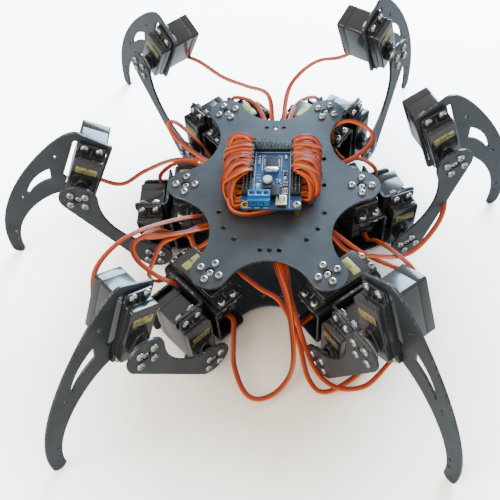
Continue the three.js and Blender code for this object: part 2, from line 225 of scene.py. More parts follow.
# Near-black colour for recesses, slots and openings that are not cut: painted shade.
RECESS_SHADE = finish("painted_recess_shade", 0.03, 0.08, (0.4, 0.6), 0.8)
HORN = finish("horn_alloy", (0.5, 0.5, 0.52), (0.68, 0.68, 0.7), (0.2, 0.34), 1.0, 1500, 0.15, 0, (1, 1, 12))
BRASS = finish("brass", (0.62, 0.42, 0.12), (0.78, 0.56, 0.2), (0.2, 0.35), 1.0)
BLACK_PLASTIC = finish("header_black", 0.006, 0.012, (0.35, 0.5), 0, 2000, 0.15)
CHIP = finish("chip_epoxy", (0.02, 0.02, 0.022), (0.035, 0.035, 0.037), (0.5, 0.65), 0, 2600, 0.2)
TERMINAL = finish("terminal_blue", (0.012, 0.17, 0.46), (0.025, 0.24, 0.58), (0.25, 0.4), 0, 1500, 0.1, 0.2)
TIN = finish("tinned_steel", (0.6, 0.6, 0.58), (0.75, 0.75, 0.72), (0.2, 0.36), 1.0)
INK = finish("white_ink", (0.62, 0.65, 0.68), (0.8, 0.82, 0.84), (0.5, 0.6))
BOARD_EDGE = finish("board_edge", (0.03, 0.05, 0.05), (0.06, 0.09, 0.08), (0.5, 0.7))
GILT = finish("plated_shell", (0.62, 0.56, 0.42), (0.78, 0.72, 0.58), (0.2, 0.34), 1.0, 1400, 0.12)
CERAMIC = finish("ceramic_tan", (0.28, 0.2, 0.12), (0.4, 0.3, 0.18), (0.4, 0.5))
MASK = board_material()
WIRES = [finish(f"wire_{name}", low, high, (0.36, 0.52), 0, 1800, 0.2, 0.12) for name, low, high in (
    ("orange", (0.78, 0.13, 0.012), (0.9, 0.19, 0.02)),
    ("red", (0.58, 0.045, 0.015), (0.70, 0.07, 0.022)),
    ("brown", (0.25, 0.036, 0.018), (0.33, 0.052, 0.026)))]


# ---- mesh building ------------------------------------------------------------------------------

class Solid:
    """Vertices and faces in millimetres, with a material for each face."""

    def __init__(self):
        self.verts, self.faces, self.looks, self.materials = [], [], [], []

    def look(self, material):
        if material not in self.materials:
            self.materials.append(material)
        return self.materials.index(material)

    def add(self, verts, faces, material, place=None):
        """Adds a closed shell whose faces point outwards. A mirroring place turns its faces round."""
        base, index = len(self.verts), self.look(material)
        self.verts += placed(verts, place)
        self.faces += turned([[base + i for i in face] for face in faces], place)
        self.looks += [index] * len(faces)

    def join(self, other, place=None):
        base = len(self.verts)
        self.verts += placed(other.verts, place)
        self.faces += turned([[base + i for i in face] for face in other.faces], place)
        self.looks += [self.look(other.materials[look]) for look in other.looks]


def placed(verts, place):
    return [place @ Vector(v) if place else Vector(v) for v in verts]


def turned(faces, place):
    """The faces as they are, or turned round when the place mirrors them."""
    mirrored = place is not None and place.to_3x3().determinant() < 0
    return [face[::-1] for face in faces] if mirrored else faces


def shift(x, y, z):
    return Matrix.Translation((x, y, z))


def spin(angle, axis="Z"):
    return Matrix.Rotation(angle, 4, axis)


def make_piece(name, solid, body, nodes=(), place=None, sharp=35):
    """Turns a solid into a named object that rides on a CAD body, when one is given."""
    mesh = bpy.data.meshes.new(name)
    faces = turned(solid.faces, place)
    mesh.from_pydata([v * MM for v in placed(solid.verts, place)], [], faces)
    for material in solid.materials:
        mesh.materials.append(material)
    mesh.polygons.foreach_set("material_index", solid.looks)
    mesh.polygons.foreach_set("use_smooth", [True] * len(faces))
    mesh.validate()
    mesh.set_sharp_from_angle(angle=math.radians(sharp))
    piece = bpy.data.objects.new(name, mesh)
    bpy.context.scene.collection.objects.link(piece)
    if nodes:
        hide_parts(*nodes)
    if body:
        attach(piece, body)
    return piece


def arc(cx, cy, radius, start, end, steps):
    """Points on an arc, both ends included; angles in radians."""
    angles = [start + (end - start) * i / steps for i in range(steps + 1)]
    return [(cx + radius * math.cos(a), cy + radius * math.sin(a)) for a in angles]


def circle(cx, cy, radius, sides=20):
    return arc(cx, cy, radius, 0, math.tau, sides)[:-1]


def rectangle(x0, y0, x1, y1):
    return [(x0, y0), (x1, y0), (x1, y1), (x0, y1)]


def screw_circle(x, y, turn=0.0):
    """Places of the four screws of a horn centred on x, y."""
    return [(x + HORN_PCD_R * math.cos(turn + a), y + HORN_PCD_R * math.sin(turn + a)) for a in QUARTER_TURNS]


def bezier(p0, p1, p2, p3, steps):
    """Points on a cubic curve, its start left out."""
    points = []
    for i in range(1, steps + 1):
        t = i / steps
        k = [(1 - t) ** 3, 3 * t * (1 - t) ** 2, 3 * t * t * (1 - t), t ** 3]
        points.append(tuple(sum(w * p[n] for w, p in zip(k, (p0, p1, p2, p3))) for n in (0, 1)))
    return points


def rounded_rect(x0, y0, x1, y1, radius, steps=5):
    x0, y0, x1, y1 = x0 + radius, y0 + radius, x1 - radius, y1 - radius
    points = []
    for i, (cx, cy) in enumerate([(x1, y1), (x0, y1), (x0, y0), (x1, y0)]):
        points += arc(cx, cy, radius, i * RIGHT_ANGLE, (i + 1) * RIGHT_ANGLE, steps)
    return points


def area(loop):
    return sum(a[0] * b[1] - b[0] * a[1] for a, b in zip(loop, loop[1:] + loop[:1])) / 2


def inset(loop, distance):
    """Moves a loop towards the material on its left by distance."""
    result = []
    count = len(loop)
    for i, (x, y) in enumerate(loop):
        ax, ay = x - loop[i - 1][0], y - loop[i - 1][1]
        bx, by = loop[(i + 1) % count][0] - x, loop[(i + 1) % count][1] - y
        la, lb = math.hypot(ax, ay), math.hypot(bx, by)
        nx, ny = -ay / la - by / lb, ax / la + bx / lb
        scale = 2 * distance / max(nx * nx + ny * ny, 0.5)
        result.append((x + nx * scale, y + ny * scale))
    return result


def clean(loop, wanted):
    """Drops repeated points and gives the loop the wanted turning sense, +1 or -1."""
    tidy = [p for p, q in zip(loop, loop[1:] + loop[:1]) if math.dist(p, q) > 1e-4]
    return tidy if area(tidy) * wanted > 0 else tidy[::-1]


def sheet(solid, outline, holes, z0, z1, face, edge_look=None, edge=0.25, steps=1, place=None):
    """A flat plate between z0 and z1 with its edges broken by a small radius or chamfer."""
    loops = [clean(outline, 1)] + [clean(hole, -1) for hole in holes]
    levels = []
    for i in range(steps + 1):
        turn = i / steps * RIGHT_ANGLE
        levels.append((edge * (1 - math.sin(turn)), z0 + edge * (1 - math.cos(turn))))
    levels += [(d, z1 - (z - z0)) for d, z in reversed(levels)]
    verts, walls, breaks = [], [], []
    starts = []
    for loop in loops:
        count = len(loop)
        first = len(verts)
        starts.append(first)
        for depth, z in levels:
            verts += [(x, y, z) for x, y in (inset(loop, depth) if depth > 1e-6 else loop)]
        for k in range(len(levels) - 1):
            middle = k == len(levels) // 2 - 1
            for i in range(count):
                j = (i + 1) % count
                low, high = first + k * count, first + (k + 1) * count
                (walls if middle else breaks).append((low + i, low + j, high + j, high + i))
    flat = [[Vector((x, y, 0)) for x, y in inset(loop, edge)] for loop in loops]
    index = [(s, i, len(loop)) for s, loop in zip(starts, loops) for i in range(len(loop))]
    top, bottom = [], []
    for tri in tessellate_polygon(flat):
        a, b, c = (verts[index[i][0] + index[i][1]] for i in tri)
        if (b[0] - a[0]) * (c[1] - a[1]) < (b[1] - a[1]) * (c[0] - a[0]):
            tri = tri[::-1]
        last = len(levels) - 1
        bottom.append([index[i][0] + index[i][1] for i in reversed(tri)])
        top.append([index[i][0] + last * index[i][2] + index[i][1] for i in tri])
    shell = Solid()
    shell.add(verts, [], face)
    for faces, material in ((walls + breaks, edge_look or face), (top + bottom, face)):
        shell.faces += [list(f) for f in faces]
        shell.looks += [shell.look(material)] * len(faces)
    solid.join(shell, place)


def rounded_box(solid, lo, hi, material, corner=1.2, edge=0.5, place=None, steps=3):
    outline = rounded_rect(lo[0], lo[1], hi[0], hi[1], corner, 4)
    sheet(solid, outline, [], lo[2], hi[2], material, None, edge, steps, place)


def lathe(solid, profile, material, sides=28, place=None):
    """Turns a profile of (radius, z) from the axis, up the outside and back to the axis."""
    verts, rings = [], []
    for radius, z in profile:
        if radius < 1e-6:
            rings.append([len(verts)])
            verts.append((0, 0, z))
        else:
            rings.append(list(range(len(verts), len(verts) + sides)))
            verts += [(x, y, z) for x, y in circle(0, 0, radius, sides)]
    faces = []
    for low, high in zip(rings, rings[1:]):
        for i in range(sides):
            j = (i + 1) % sides
            if len(low) == 1:
                faces.append((low[0], high[j], high[i]))
            elif len(high) == 1:
                faces.append((low[i], low[j], high[0]))
            else:
                faces.append((low[i], low[j], high[j], high[i]))
    solid.add(verts, faces, material, place)


def path_frames(points, start_side):
    """Tangent, side and normal at each point of a path, carried along without twist."""
    frames, side = [], Vector(start_side).normalized()
    for i, p in enumerate(points):
        tangent = (points[min(i + 1, len(points) - 1)] - points[max(i - 1, 0)]).normalized()
        side = (side - tangent * side.dot(tangent)).normalized()
        frames.append((p, tangent, side, tangent.cross(side)))
    return frames


def smooth_path(points, steps=8):
    """Catmull-Rom curve through the points."""
    p = [Vector(q) for q in points]
    p = [2 * p[0] - p[1]] + p + [2 * p[-1] - p[-2]]
    path = []
    for a, b, c, d in zip(p, p[1:], p[2:], p[3:]):
        for i in range(steps):
            t = i / steps
            path.append(0.5 * (2 * b + (c - a) * t + (2 * a - 5 * b + 4 * c - d) * t ** 2
                               + (3 * b - a - 3 * c + d) * t ** 3))
    return path + [p[-2]]


def tube(solid, frames, radius, material, sides=8, offset=0.0):
    """Round tube along path frames, offset sideways."""
    verts, faces = [], []
    for p, _, side, normal in frames:
        centre = p + side * offset
        for i in range(sides):
            a = math.tau * i / sides
            verts.append(centre + side * (radius * math.cos(a)) + normal * (radius * math.sin(a)))
    for k in range(len(frames) - 1):
        for i in range(sides):
            j = (i + 1) % sides
            low, high = k * sides, (k + 1) * sides
            faces.append((low + i, low + j, high + j, high + i))
    last = (len(frames) - 1) * sides
    faces.append(tuple(reversed(range(sides))))
    faces.append(tuple(range(last, last + sides)))
    solid.add(verts, faces, material)


def wires(solid, frames, radius=WIRE_R, sides=6):
    """Three-core servo cable: three round wires moulded side by side along path frames."""
    for k, material in enumerate(WIRES):
        tube(solid, frames, radius, material, sides, (k - 1) * 1.85 * radius)


def settle_flat(frames, pull=0.3):
    """Lets a ribbon relax until its flat side faces up wherever its path is not steep."""
    settled, side = [], frames[0][2]
    for p, tangent, _, _ in frames:
        side = (side - tangent * side.dot(tangent)).normalized()
        level = tangent.cross(Vector((0, 0, 1)))
        if level.length > 0.2:
            level = level.normalized() * (1 if level.dot(side) >= 0 else -1)
            side = side.lerp(level, pull).normalized()
        settled.append((p, tangent, side, tangent.cross(side)))
    return settled


# ---- hardware -----------------------------------------------------------------------------------

def pan_screw(length=6.0, head_h=HEAD_H, head_r=HEAD_R):
    """Cross-recess pan head screw: the head stands on z = 0 and the shank goes down."""
    screw = Solid()
    dome = [(0, -length), (SCREW_R - 0.3, -length), (SCREW_R, -length + 0.4), (SCREW_R, 0), (head_r - 0.1, 0),
            (head_r, 0.15), (head_r, head_h * 0.35), (head_r * 0.93, head_h * 0.68),
            (head_r * 0.74, head_h * 0.9), (head_r * 0.48, head_h), (0, head_h)]
    lathe(screw, dome, STEEL, 18)
    # The cross recess is not cut: two dark bars on the head's top are its painted shade.
    arm, half = head_r * 0.5, 0.36
    for turn in (0, RIGHT_ANGLE):
        bar = rectangle(-arm, -half, arm, half)
        sheet(screw, bar, [], head_h - 0.4, head_h + 0.05, RECESS_SHADE, None, 0.04, 1, spin(turn))
    return screw


def hex_nut():
    """M3 nut standing on z = 0 downwards, with a rounded collar."""
    nut = Solid()
    outline = circle(0, 0, 3.15, 6)
    sheet(nut, outline, [circle(0, 0, THREAD_R, 16)], -2.4, 0, STEEL, None, 0.22, 2)
    return nut


SCREW = pan_screw()
HORN_SCREW = pan_screw(SHEET + HORN_TOP - BOSS_TOP - 0.1)
LOW_SCREW = pan_screw(6.5, 1.5, 2.6)
NUT = hex_nut()


def horn_disc(bottom):
    """Dished alloy disc with four screw holes, in the servo frame."""
    disc = Solid()
    holes = [circle(x, y, THREAD_R, 14) for x, y in screw_circle(0, 0) + [(0, 0)]]
    sheet(disc, circle(0, 0, HORN_R, 64), holes, bottom, HORN_TOP, HORN, None, 0.3, 2)
    disc.join(pan_screw(HORN_TOP - bottom), shift(0, 0, HORN_TOP) @ spin(0.6))
    return disc


def tab_hole_places():
    """The four tab holes of a servo, seen along its shaft."""
    return [(-SHAFT_TO_CENTRE + end * HOLE_SPAN / 2, side * HOLE_PITCH / 2)
            for end in (-1, 1) for side in (-1, 1)]


def servo_case():
    """Standard-size servo in its own frame: shaft on +Z, tabs on z = 0, case towards -X."""
    case = Solid()
    mid = -SHAFT_TO_CENTRE
    x0, x1 = mid - SERVO_LENGTH / 2, mid + SERVO_LENGTH / 2
    y = SERVO_WIDTH / 2
    for low, high, inward, material, corner, edge in (
            (SERVO_BOTTOM, -20.5, 0, CASE, 1.6, 0.3), (-21.2, -19.8, 0.25, CASE_SEAM, 1.4, 0.1),
            (-20.35, 5.2, 0, CASE, 1.6, 0.2), (4.8, 6.0, 0.35, CASE_SEAM, 1.4, 0.1),
            (5.4, SERVO_TOP, 0, CASE, 1.6, 0.6)):
        rounded_box(case, (x0 + inward, -y + inward, low), (x1 - inward, y - inward, high), material,
                    corner, edge)
    servo_tabs(case, mid)
    bump = arc(0, 0, 6.5, -math.radians(105), math.radians(105), 22)
    bump += arc(-8.6, 0, 3.6, math.radians(100), math.radians(260), 12)
    sheet(case, bump, [], SERVO_TOP - 0.2, 12.6, CASE, None, 0.5, 3)
    lathe(case, [(0, 12), (5.6, 12), (5.6, 14.4), (5.2, BOSS_TOP), (3.2, BOSS_TOP), (0, BOSS_TOP)], CASE, 32)
    lathe(case, [(0, 14.8), (2.9, 14.8), (2.9, BOSS_TOP + 0.25), (0, BOSS_TOP + 0.25)], BRASS, 24)
    # Dark discs at the bottom corners: painted shade of the wells of the case screws.
    for sx in (x0 + 2.6, x1 - 2.6):
        for sy in (-y + 2.6, y - 2.6):
            foot = shift(sx, sy, SERVO_BOTTOM) @ UPSIDE_DOWN
            lathe(case, [(0, -1), (1.9, -1), (1.9, 0.02), (1.35, 0.06), (0, 0.06)], RECESS_SHADE, 16, foot)
    label_lo, label_hi = (mid - 13.5, -7.2, SERVO_TOP - 0.1), (mid - 7.5, 7.2, SERVO_TOP + 0.12)
    rounded_box(case, label_lo, label_hi, GOLD, 0.6, 0.05)
    rounded_box(case, (x1 - 1, -3.1, -24.6), (x1 + 1.8, 3.1, -21.4), BLACK_PLASTIC, 0.7, 0.4)
    return case


def servo_tabs(case, mid):
    """Two mounting tabs with four open holes and the ribs that stiffen them."""
    for end in (-1, 1):
        inner = mid + end * (SERVO_LENGTH / 2 - 1.0)
        outer = mid + end * TAB_SPAN / 2
        x0, x1 = min(inner, outer), max(inner, outer)
        hole_x = mid + end * HOLE_SPAN / 2
        holes = [circle(hole_x, s * HOLE_PITCH / 2, 1.9, 18) for s in (-1, 1)]
        outline = rounded_rect(x0, -TAB_WIDTH / 2, x1, TAB_WIDTH / 2, 0.8, 4)
        sheet(case, outline, holes, 0, TAB_THICKNESS, CASE, None, 0.35, 2)
        root = mid + end * SERVO_LENGTH / 2
        rib = [(root - end * 0.5, TAB_THICKNESS - 0.2), (root + end * 4.2, TAB_THICKNESS - 0.2),
               (root - end * 0.5, TAB_THICKNESS + 2.2)]
        sheet(case, rib, [], -0.6, 0.6, CASE, None, 0.1, 1, spin(RIGHT_ANGLE, "X"))


def bend_point(s, w):
    """Where a point of the flat bracket lands: s along the sheet, w across its thickness."""
    centre_y = WEB_Y - SHEET - BEND_R
    top = -GAP - SHEET - BEND_R
    low = REAR_Z + SHEET + BEND_R
    r = BEND_MID_R + w
    if s < FLANGE:
        return centre_y - FLANGE + s, top + r
    s -= FLANGE
    if s < BEND_RUN:
        turn = s / BEND_MID_R
        return centre_y + r * math.sin(turn), top + r * math.cos(turn)
    s -= BEND_RUN
    if s < WEB:
        return centre_y + r, top - s
    s -= WEB
    if s < BEND_RUN:
        turn = s / BEND_MID_R
        return centre_y + r * math.cos(turn), low - r * math.sin(turn)
    return centre_y - (s - BEND_RUN), low - r


def bracket():
    """C-shaped sheet bracket in the servo frame, web on +Y: a flat blank with holes, then bent."""
    total = 2 * (FLANGE + BEND_RUN) + WEB
    x0, x1 = -SHAFT_TO_CENTRE - BRACKET_LENGTH / 2, -SHAFT_TO_CENTRE + BRACKET_LENGTH / 2
    slot0, slot1 = -SHAFT_TO_CENTRE - SERVO_LENGTH / 2 - GAP, -SHAFT_TO_CENTRE + SERVO_LENGTH / 2 + GAP
    slot_depth = BRACKET_DEPTH - WEB_Y + SERVO_WIDTH / 2 + GAP
    rear_x = x1 - REAR_LENGTH
    rear_s = total - FLANGE - BEND_RUN
    ear, rear_corner = 2.0, 4
    blank = [(slot0, 0), (slot0, slot_depth), (slot1, slot_depth), (slot1, 0)]
    blank += arc(x1 - ear, ear, ear, -RIGHT_ANGLE, 0, 6)
    blank += arc(x1 - rear_corner, total - rear_corner, rear_corner, 0, RIGHT_ANGLE, 8)
    blank += arc(rear_x + rear_corner, total - rear_corner, rear_corner, RIGHT_ANGLE, math.pi, 8)
    blank += [(rear_x, rear_s + 1), (x0 + ear, rear_s + 1)]
    blank += arc(x0 + ear, ear, ear, math.pi, 3 * RIGHT_ANGLE, 6)
    servo_s = FLANGE + BEND_R + SHEET - WEB_Y
    holes = [circle(x, servo_s + y, HOLE_R, 16) for x, y in tab_hole_places()]
    holes.append(circle(0, total - servo_s, 4, 24))
    web_mid = total / 2
    holes += [circle(-SHAFT_TO_CENTRE + dx, web_mid + ds, HOLE_R, 16)
              for dx in (-WEB_HOLE_X, 0, WEB_HOLE_X) for ds in (-WEB_HOLE_Z, WEB_HOLE_Z)]
    holes.append(circle(-SHAFT_TO_CENTRE, web_mid, 3.2, 20))
    flat = Solid()
    sheet(flat, blank, holes, -SHEET / 2, SHEET / 2, BRACKET_BLACK, BRACKET_EDGE_HIGHLIGHT, 0.2)
    cuts = [start + BEND_RUN * i / 6 for start in (FLANGE, FLANGE + BEND_RUN + WEB) for i in range(7)]
    cut_across(flat, cuts)
    for v in flat.verts:
        v.y, v.z = bend_point(v.y, v.z)
    return flat


def cut_across(solid, cuts):
    """Splits faces along lines of constant y, so that the sheet can bend there."""
    mesh = bmesh.new()
    made = [mesh.verts.new(v) for v in solid.verts]
    for face, look in zip(solid.faces, solid.looks):
        mesh.faces.new([made[i] for i in face]).material_index = look
    for y in cuts:
        everything = mesh.verts[:] + mesh.edges[:] + mesh.faces[:]
        bmesh.ops.bisect_plane(mesh, geom=everything, dist=1e-5, plane_co=(0, y, 0), plane_no=(0, 1, 0))
    mesh.verts.index_update()
    solid.verts = [v.co.copy() for v in mesh.verts]
    solid.faces = [[v.index for v in f.verts] for f in mesh.faces]
    solid.looks = [f.material_index for f in mesh.faces]
    mesh.free()


# ---- leg plates ---------------------------------------------------------------------------------

def thigh_plate(length):
    """Hip at the origin, knee at +X, drawn in XZ with its inner face on y = 0. One edge is waisted."""
    end_r, waist, waist_r = 13.5, 2.2, 44.0
    waist_z, half = waist + waist_r, length / 2
    tangent = math.atan2(waist_z, half)
    waist_arc = math.hypot(waist_z, half) - end_r
    outline = arc(length, 0, end_r, -RIGHT_ANGLE, math.pi - tangent, 36)
    outline += arc(half, waist_z, waist_arc, -tangent, tangent - math.pi, 28)
    outline += arc(0, 0, end_r, tangent, 3 * RIGHT_ANGLE, 36)
    holes = []
    for x in (0, length):
        holes.append(circle(x, 0, HUB_R, 28))
        holes += [circle(sx, sz, HOLE_R, 16) for sx, sz in screw_circle(x, 0)]
    plate = Solid()
    sheet(plate, outline, holes, -SHEET, 0, ANODISED, ANODISED_EDGE_HIGHLIGHT, 0.25, 1, UPRIGHT)
    return plate


def servo_opening():
    """Opening of the claw plate for the servo case, with a narrow slot beside its outward side."""
    side = SERVO_WIDTH / 2 + GAP
    z0, z1 = SHAFT_TO_CENTRE - SERVO_LENGTH / 2 - GAP, SHAFT_TO_CENTRE + SERVO_LENGTH / 2 + GAP
    slot_low, slot_high, r = -3.0, 35.5, 1.5
    opening = [(-side, z0), (side, z0), (side, slot_low)]
    opening += arc(side + r, slot_low + r, r, -RIGHT_ANGLE, 0, 6)
    opening += arc(side + r, slot_high - r, r, 0, RIGHT_ANGLE, 6)
    return opening + [(side, slot_high), (side, z1), (-side, z1)]


def claw_plate():
    """Knee at the origin, claw outwards (+X) and down, drawn in XZ; its front face is on y = SHEET."""
    tip_x, tip_z = CLAW_TIP
    dx, dz = CLAW_TIP_R * math.cos(CLAW_TIP_TILT), CLAW_TIP_R * math.sin(CLAW_TIP_TILT)
    heel, inner, outer = (8, -18), (tip_x - dx, tip_z - dz), (tip_x + dx, tip_z + dz)
    shoulder, crest = (36.5, 1), (12, 43)
    outline = arc(-9.5, -15, 3, math.pi, 3 * RIGHT_ANGLE, 6) + [heel]
    outline += bezier(heel, (27, -32), (41, -75), inner, 40)
    outline += arc(tip_x, tip_z, CLAW_TIP_R, CLAW_TIP_TILT + math.pi, CLAW_TIP_TILT + math.tau, 18)[1:]
    outline += bezier(outer, (52, -76), (48, -35), shoulder, 40)
    outline += bezier(shoulder, (31, 18), (21, 43), crest, 24)
    outline += arc(-10, 37, 2.5, RIGHT_ANGLE - 0.15, math.pi, 6)
    upper, lower = (23.5, 0.5), (20.5, -9.5)
    window = [upper] + bezier(upper, (30.5, -7.8), (34, -18.3), (34, -30), 14)
    window += arc(33.2, -31, 1.1, 0.6, -2.2, 6)
    window += bezier((32.4, -30.2), (29.5, -21), (26, -14.5), lower, 14)
    window += bezier(lower, (21.6, -6), (22.3, -2.5), upper, 6)[:-1]
    holes = [servo_opening(), window]
    holes += [circle(x, z, 1.3, 14) for x, z in ((22, 14), (36.3, -39), (35.5, -84), (32.8, -93))]
    holes += [circle(s * HOLE_PITCH / 2, SHAFT_TO_CENTRE + e * HOLE_SPAN / 2, HOLE_R, 16)
              for s in (-1, 1) for e in (-1, 1)]
    claw = Solid()
    sheet(claw, outline, holes, -SHEET, 0, ANODISED, ANODISED_EDGE_HIGHLIGHT, 0.25, 1, UPRIGHT)
    return claw


def star_outline():
    """Six round lobes joined by tangent concave arcs."""
    lobes = sorted(lobe_centres(), key=lambda p: math.atan2(p[1], p[0]))
    outline = []
    for i, lobe in enumerate(lobes):
        _, _, _, _, a0 = concave_arc(lobes[i - 1], lobe)
        cx, cy, r, a1, b1 = concave_arc(lobe, lobes[(i + 1) % 6])
        outline += arc(lobe[0], lobe[1], LOBE_R, a0, a1 if a1 > a0 else a1 + math.tau, 30)
        b0, b1 = a1 + math.pi, b1 + math.pi
        b1 -= math.tau * round((b1 - b0 + math.pi) / math.tau)
        outline += arc(cx, cy, r, b0, b1, 34)
    return outline


def concave_arc(p, q):
    """Centre, radius and the directions from each lobe to the centre of the arc between two lobes."""
    r = FRONT_ARC_R if abs(q[1] - p[1]) < 1 else SIDE_ARC_R
    half = math.dist(p, q) / 2
    out = math.sqrt((r + LOBE_R) ** 2 - half ** 2)
    cx = (p[0] + q[0]) / 2 + out * (q[1] - p[1]) / (2 * half)
    cy = (p[1] + q[1]) / 2 - out * (q[0] - p[0]) / (2 * half)
    return cx, cy, r, math.atan2(cy - p[1], cx - p[0]), math.atan2(cy - q[1], cx - q[0])


def lobe_centres():
    return [tuple(v / MM for v in JOINTS[f"coxa_yaw_{name}"]["pos_m"][:2]) for name in LEG_NAMES]


def small_plate_holes():
    quarter = [(0, 58), (6.5, 58), (37.2, 25.5), (27.5, 18.5), (32.6, 39.6), (24.8, 49), (37, 0)]
    places = {(sx * x, sy * y) for x, y in quarter for sx in (-1, 1) for sy in (-1, 1)}
    return [circle(x, y, HOLE_R, 16) for x, y in sorted(places)]


def lobe_screw_places():
    """Four horn screws around each lobe, in line with its radius."""
    return [place for x, y in lobe_centres() for place in screw_circle(x, y, math.atan2(y, x))]


def build_plates():
    top = Solid()
    holes = small_plate_holes() + [circle(x, y, HOLE_R, 16) for x, y in lobe_screw_places()]
    holes += [circle(x, y, HUB_R, 28) for x, y in lobe_centres()]
    half_x, half_y = DECK_OPENING[0] / 2, DECK_OPENING[1] / 2
    holes.append(rounded_rect(-half_x, -half_y, half_x, half_y, half_y, 8))
    sheet(top, star_outline(), holes, TOP_UNDERSIDE, DECK_TOP, ANODISED, ANODISED_EDGE_HIGHLIGHT, 0.25)
    make_piece("top_deck", top, CHASSIS, ["top_plate"])
    bottom = Solid()
    holes = small_plate_holes() + [circle(x, y, HOLE_R, 16) for x, y in lobe_centres()]
    sheet(bottom, star_outline(), holes, BOTTOM_TOP - SHEET, BOTTOM_TOP, ANODISED, ANODISED_EDGE_HIGHLIGHT, 0.25)
    make_piece("bottom_deck", bottom, CHASSIS, ["bottom_plate"])
    screws = Solid()
    for x, y in lobe_screw_places():
        screws.join(HORN_SCREW, shift(x, y, DECK_TOP) @ spin(x * 7 + y))
    make_piece("top_deck_screws", screws, CHASSIS)


# ---- legs ---------------------------------------------------------------------------------------

def axes_frame(origin, shaft, shaft_end):
    """Matrix of a servo frame: Z along the shaft, X towards the shaft end of the case."""
    z, x = Vector(shaft), Vector(shaft_end)
    y = z.cross(x)
    frame_matrix = Matrix((x, y, z)).transposed().to_4x4()
    frame_matrix.translation = origin
    return frame_matrix


class Leg:
    """Frames of one leg, in millimetres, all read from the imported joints."""

    def __init__(self, name):
        self.name = name
        coxa, hip, knee = (Vector(JOINTS[f"{j}_{name}"]["pos_m"]) / MM
                           for j in ("coxa_yaw", "hip_pitch", "knee_pitch"))
        axis = Vector(JOINTS[f"hip_pitch_{name}"]["axis"])
        out = Vector((-axis.y, axis.x, 0))
        across = -axis if name.endswith("left") else axis
        self.base = Matrix((out, across, Vector((0, 0, 1)))).transposed().to_4x4()
        self.base.translation = Vector((coxa.x, coxa.y, TOP_UNDERSIDE))
        thigh = knee - hip
        elevation = math.atan2(thigh.z, thigh.dot(out))
        hip_r, hip_z = (hip - coxa).dot(out), hip.z - TOP_UNDERSIDE
        hip_point = Vector((hip_r, TAB_PLANE_T, hip_z))
        tilt = self.claw_tilt(knee.z)
        self.coxa = self.base @ axes_frame((0, 0, TAB_PLANE_Z), (0, 0, 1), (0, 1, 0))
        self.hip = self.base @ axes_frame(hip_point, (0, 1, 0), (0, 0, -1))
        self.femur = self.base @ Matrix.Translation(hip_point) @ spin(-elevation, "Y")
        self.tibia = self.femur @ shift(thigh.length, 0, 0) @ spin(elevation - tilt, "Y")
        self.knee = self.tibia @ axes_frame((0, 0, 0), (0, 1, 0), (0, 0, -1))
        self.thigh_length = thigh.length

    @staticmethod
    def claw_tilt(knee_z):
        """Tilt that puts the claw's round tip on the floor."""
        tip_x, tip_z = CLAW_TIP
        height = knee_z - FLOOR_Z / MM - CLAW_TIP_R
        return math.acos(height / math.hypot(tip_x, tip_z)) - math.atan2(tip_x, -tip_z)

    def body(self, part):
        return f"{part}_{self.name}"

    def piece(self, name, solid, place, part, slot, nodes=()):
        body = CHASSIS if part == CHASSIS else self.body(part)
        targets = [f"{node}_{self.name}" for node in nodes]
        return make_piece(f"{name}_{self.name}", solid, body, targets, place)


def tab_fasteners(nut_z):
    """Four screws through the servo's tabs with nuts behind the sheet."""
    group = Solid()
    for x, y in tab_hole_places():
        group.join(SCREW, shift(x, y, TAB_THICKNESS) @ spin(x * 3 + y))
        group.join(NUT, shift(x, y, nut_z) @ spin(x * 3 + y))
    return group


def web_fasteners():
    """Screws that hold two brackets back to back, in the coxa servo frame."""
    group = Solid()
    z_mid = -GAP - BRACKET_HEIGHT / 2
    for dx in (-WEB_HOLE_X, WEB_HOLE_X):
        for dz in (-WEB_HOLE_Z, WEB_HOLE_Z):
            hole = shift(-SHAFT_TO_CENTRE + dx, -(WEB_Y - SHEET), z_mid + dz)
            group.join(LOW_SCREW, hole @ spin(-RIGHT_ANGLE, "X"))
    return group


def horn_fasteners(length):
    """Four screws at each end of the thigh, in the femur frame."""
    group = Solid()
    for x, z in screw_circle(0, 0) + screw_circle(length, 0):
        head = shift(x, HORN_TOP + GAP + SHEET, z) @ spin(-RIGHT_ANGLE, "X")
        group.join(HORN_SCREW, head @ spin(x * 5 + z))
    return group


def pivot_bearing():
    """Flanged bearing in the coxa bracket's rear flange, in the servo frame."""
    bearing = Solid()
    profile = [(1.6, -0.7), (4.9, -0.7), (4.9, -0.05), (3.95, -0.05), (3.95, 3.2), (3.2, 3.2), (3.2, 2.9),
               (2.3, 2.9), (2.3, 3.3), (1.6, 3.3), (1.6, -0.7)]
    lathe(bearing, profile, STEEL, 28, shift(0, 0, REAR_Z))
    return bearing


def pivot_screw():
    """Screw up through the bottom plate into the bearing, with its nut, in the coxa servo frame."""
    group = Solid()
    under = BOTTOM_TOP - SHEET - TOP_UNDERSIDE - TAB_PLANE_Z
    group.join(pan_screw(8.5), shift(0, 0, under) @ UPSIDE_DOWN)
    group.join(NUT, shift(0, 0, REAR_Z + 5.8))
    return group


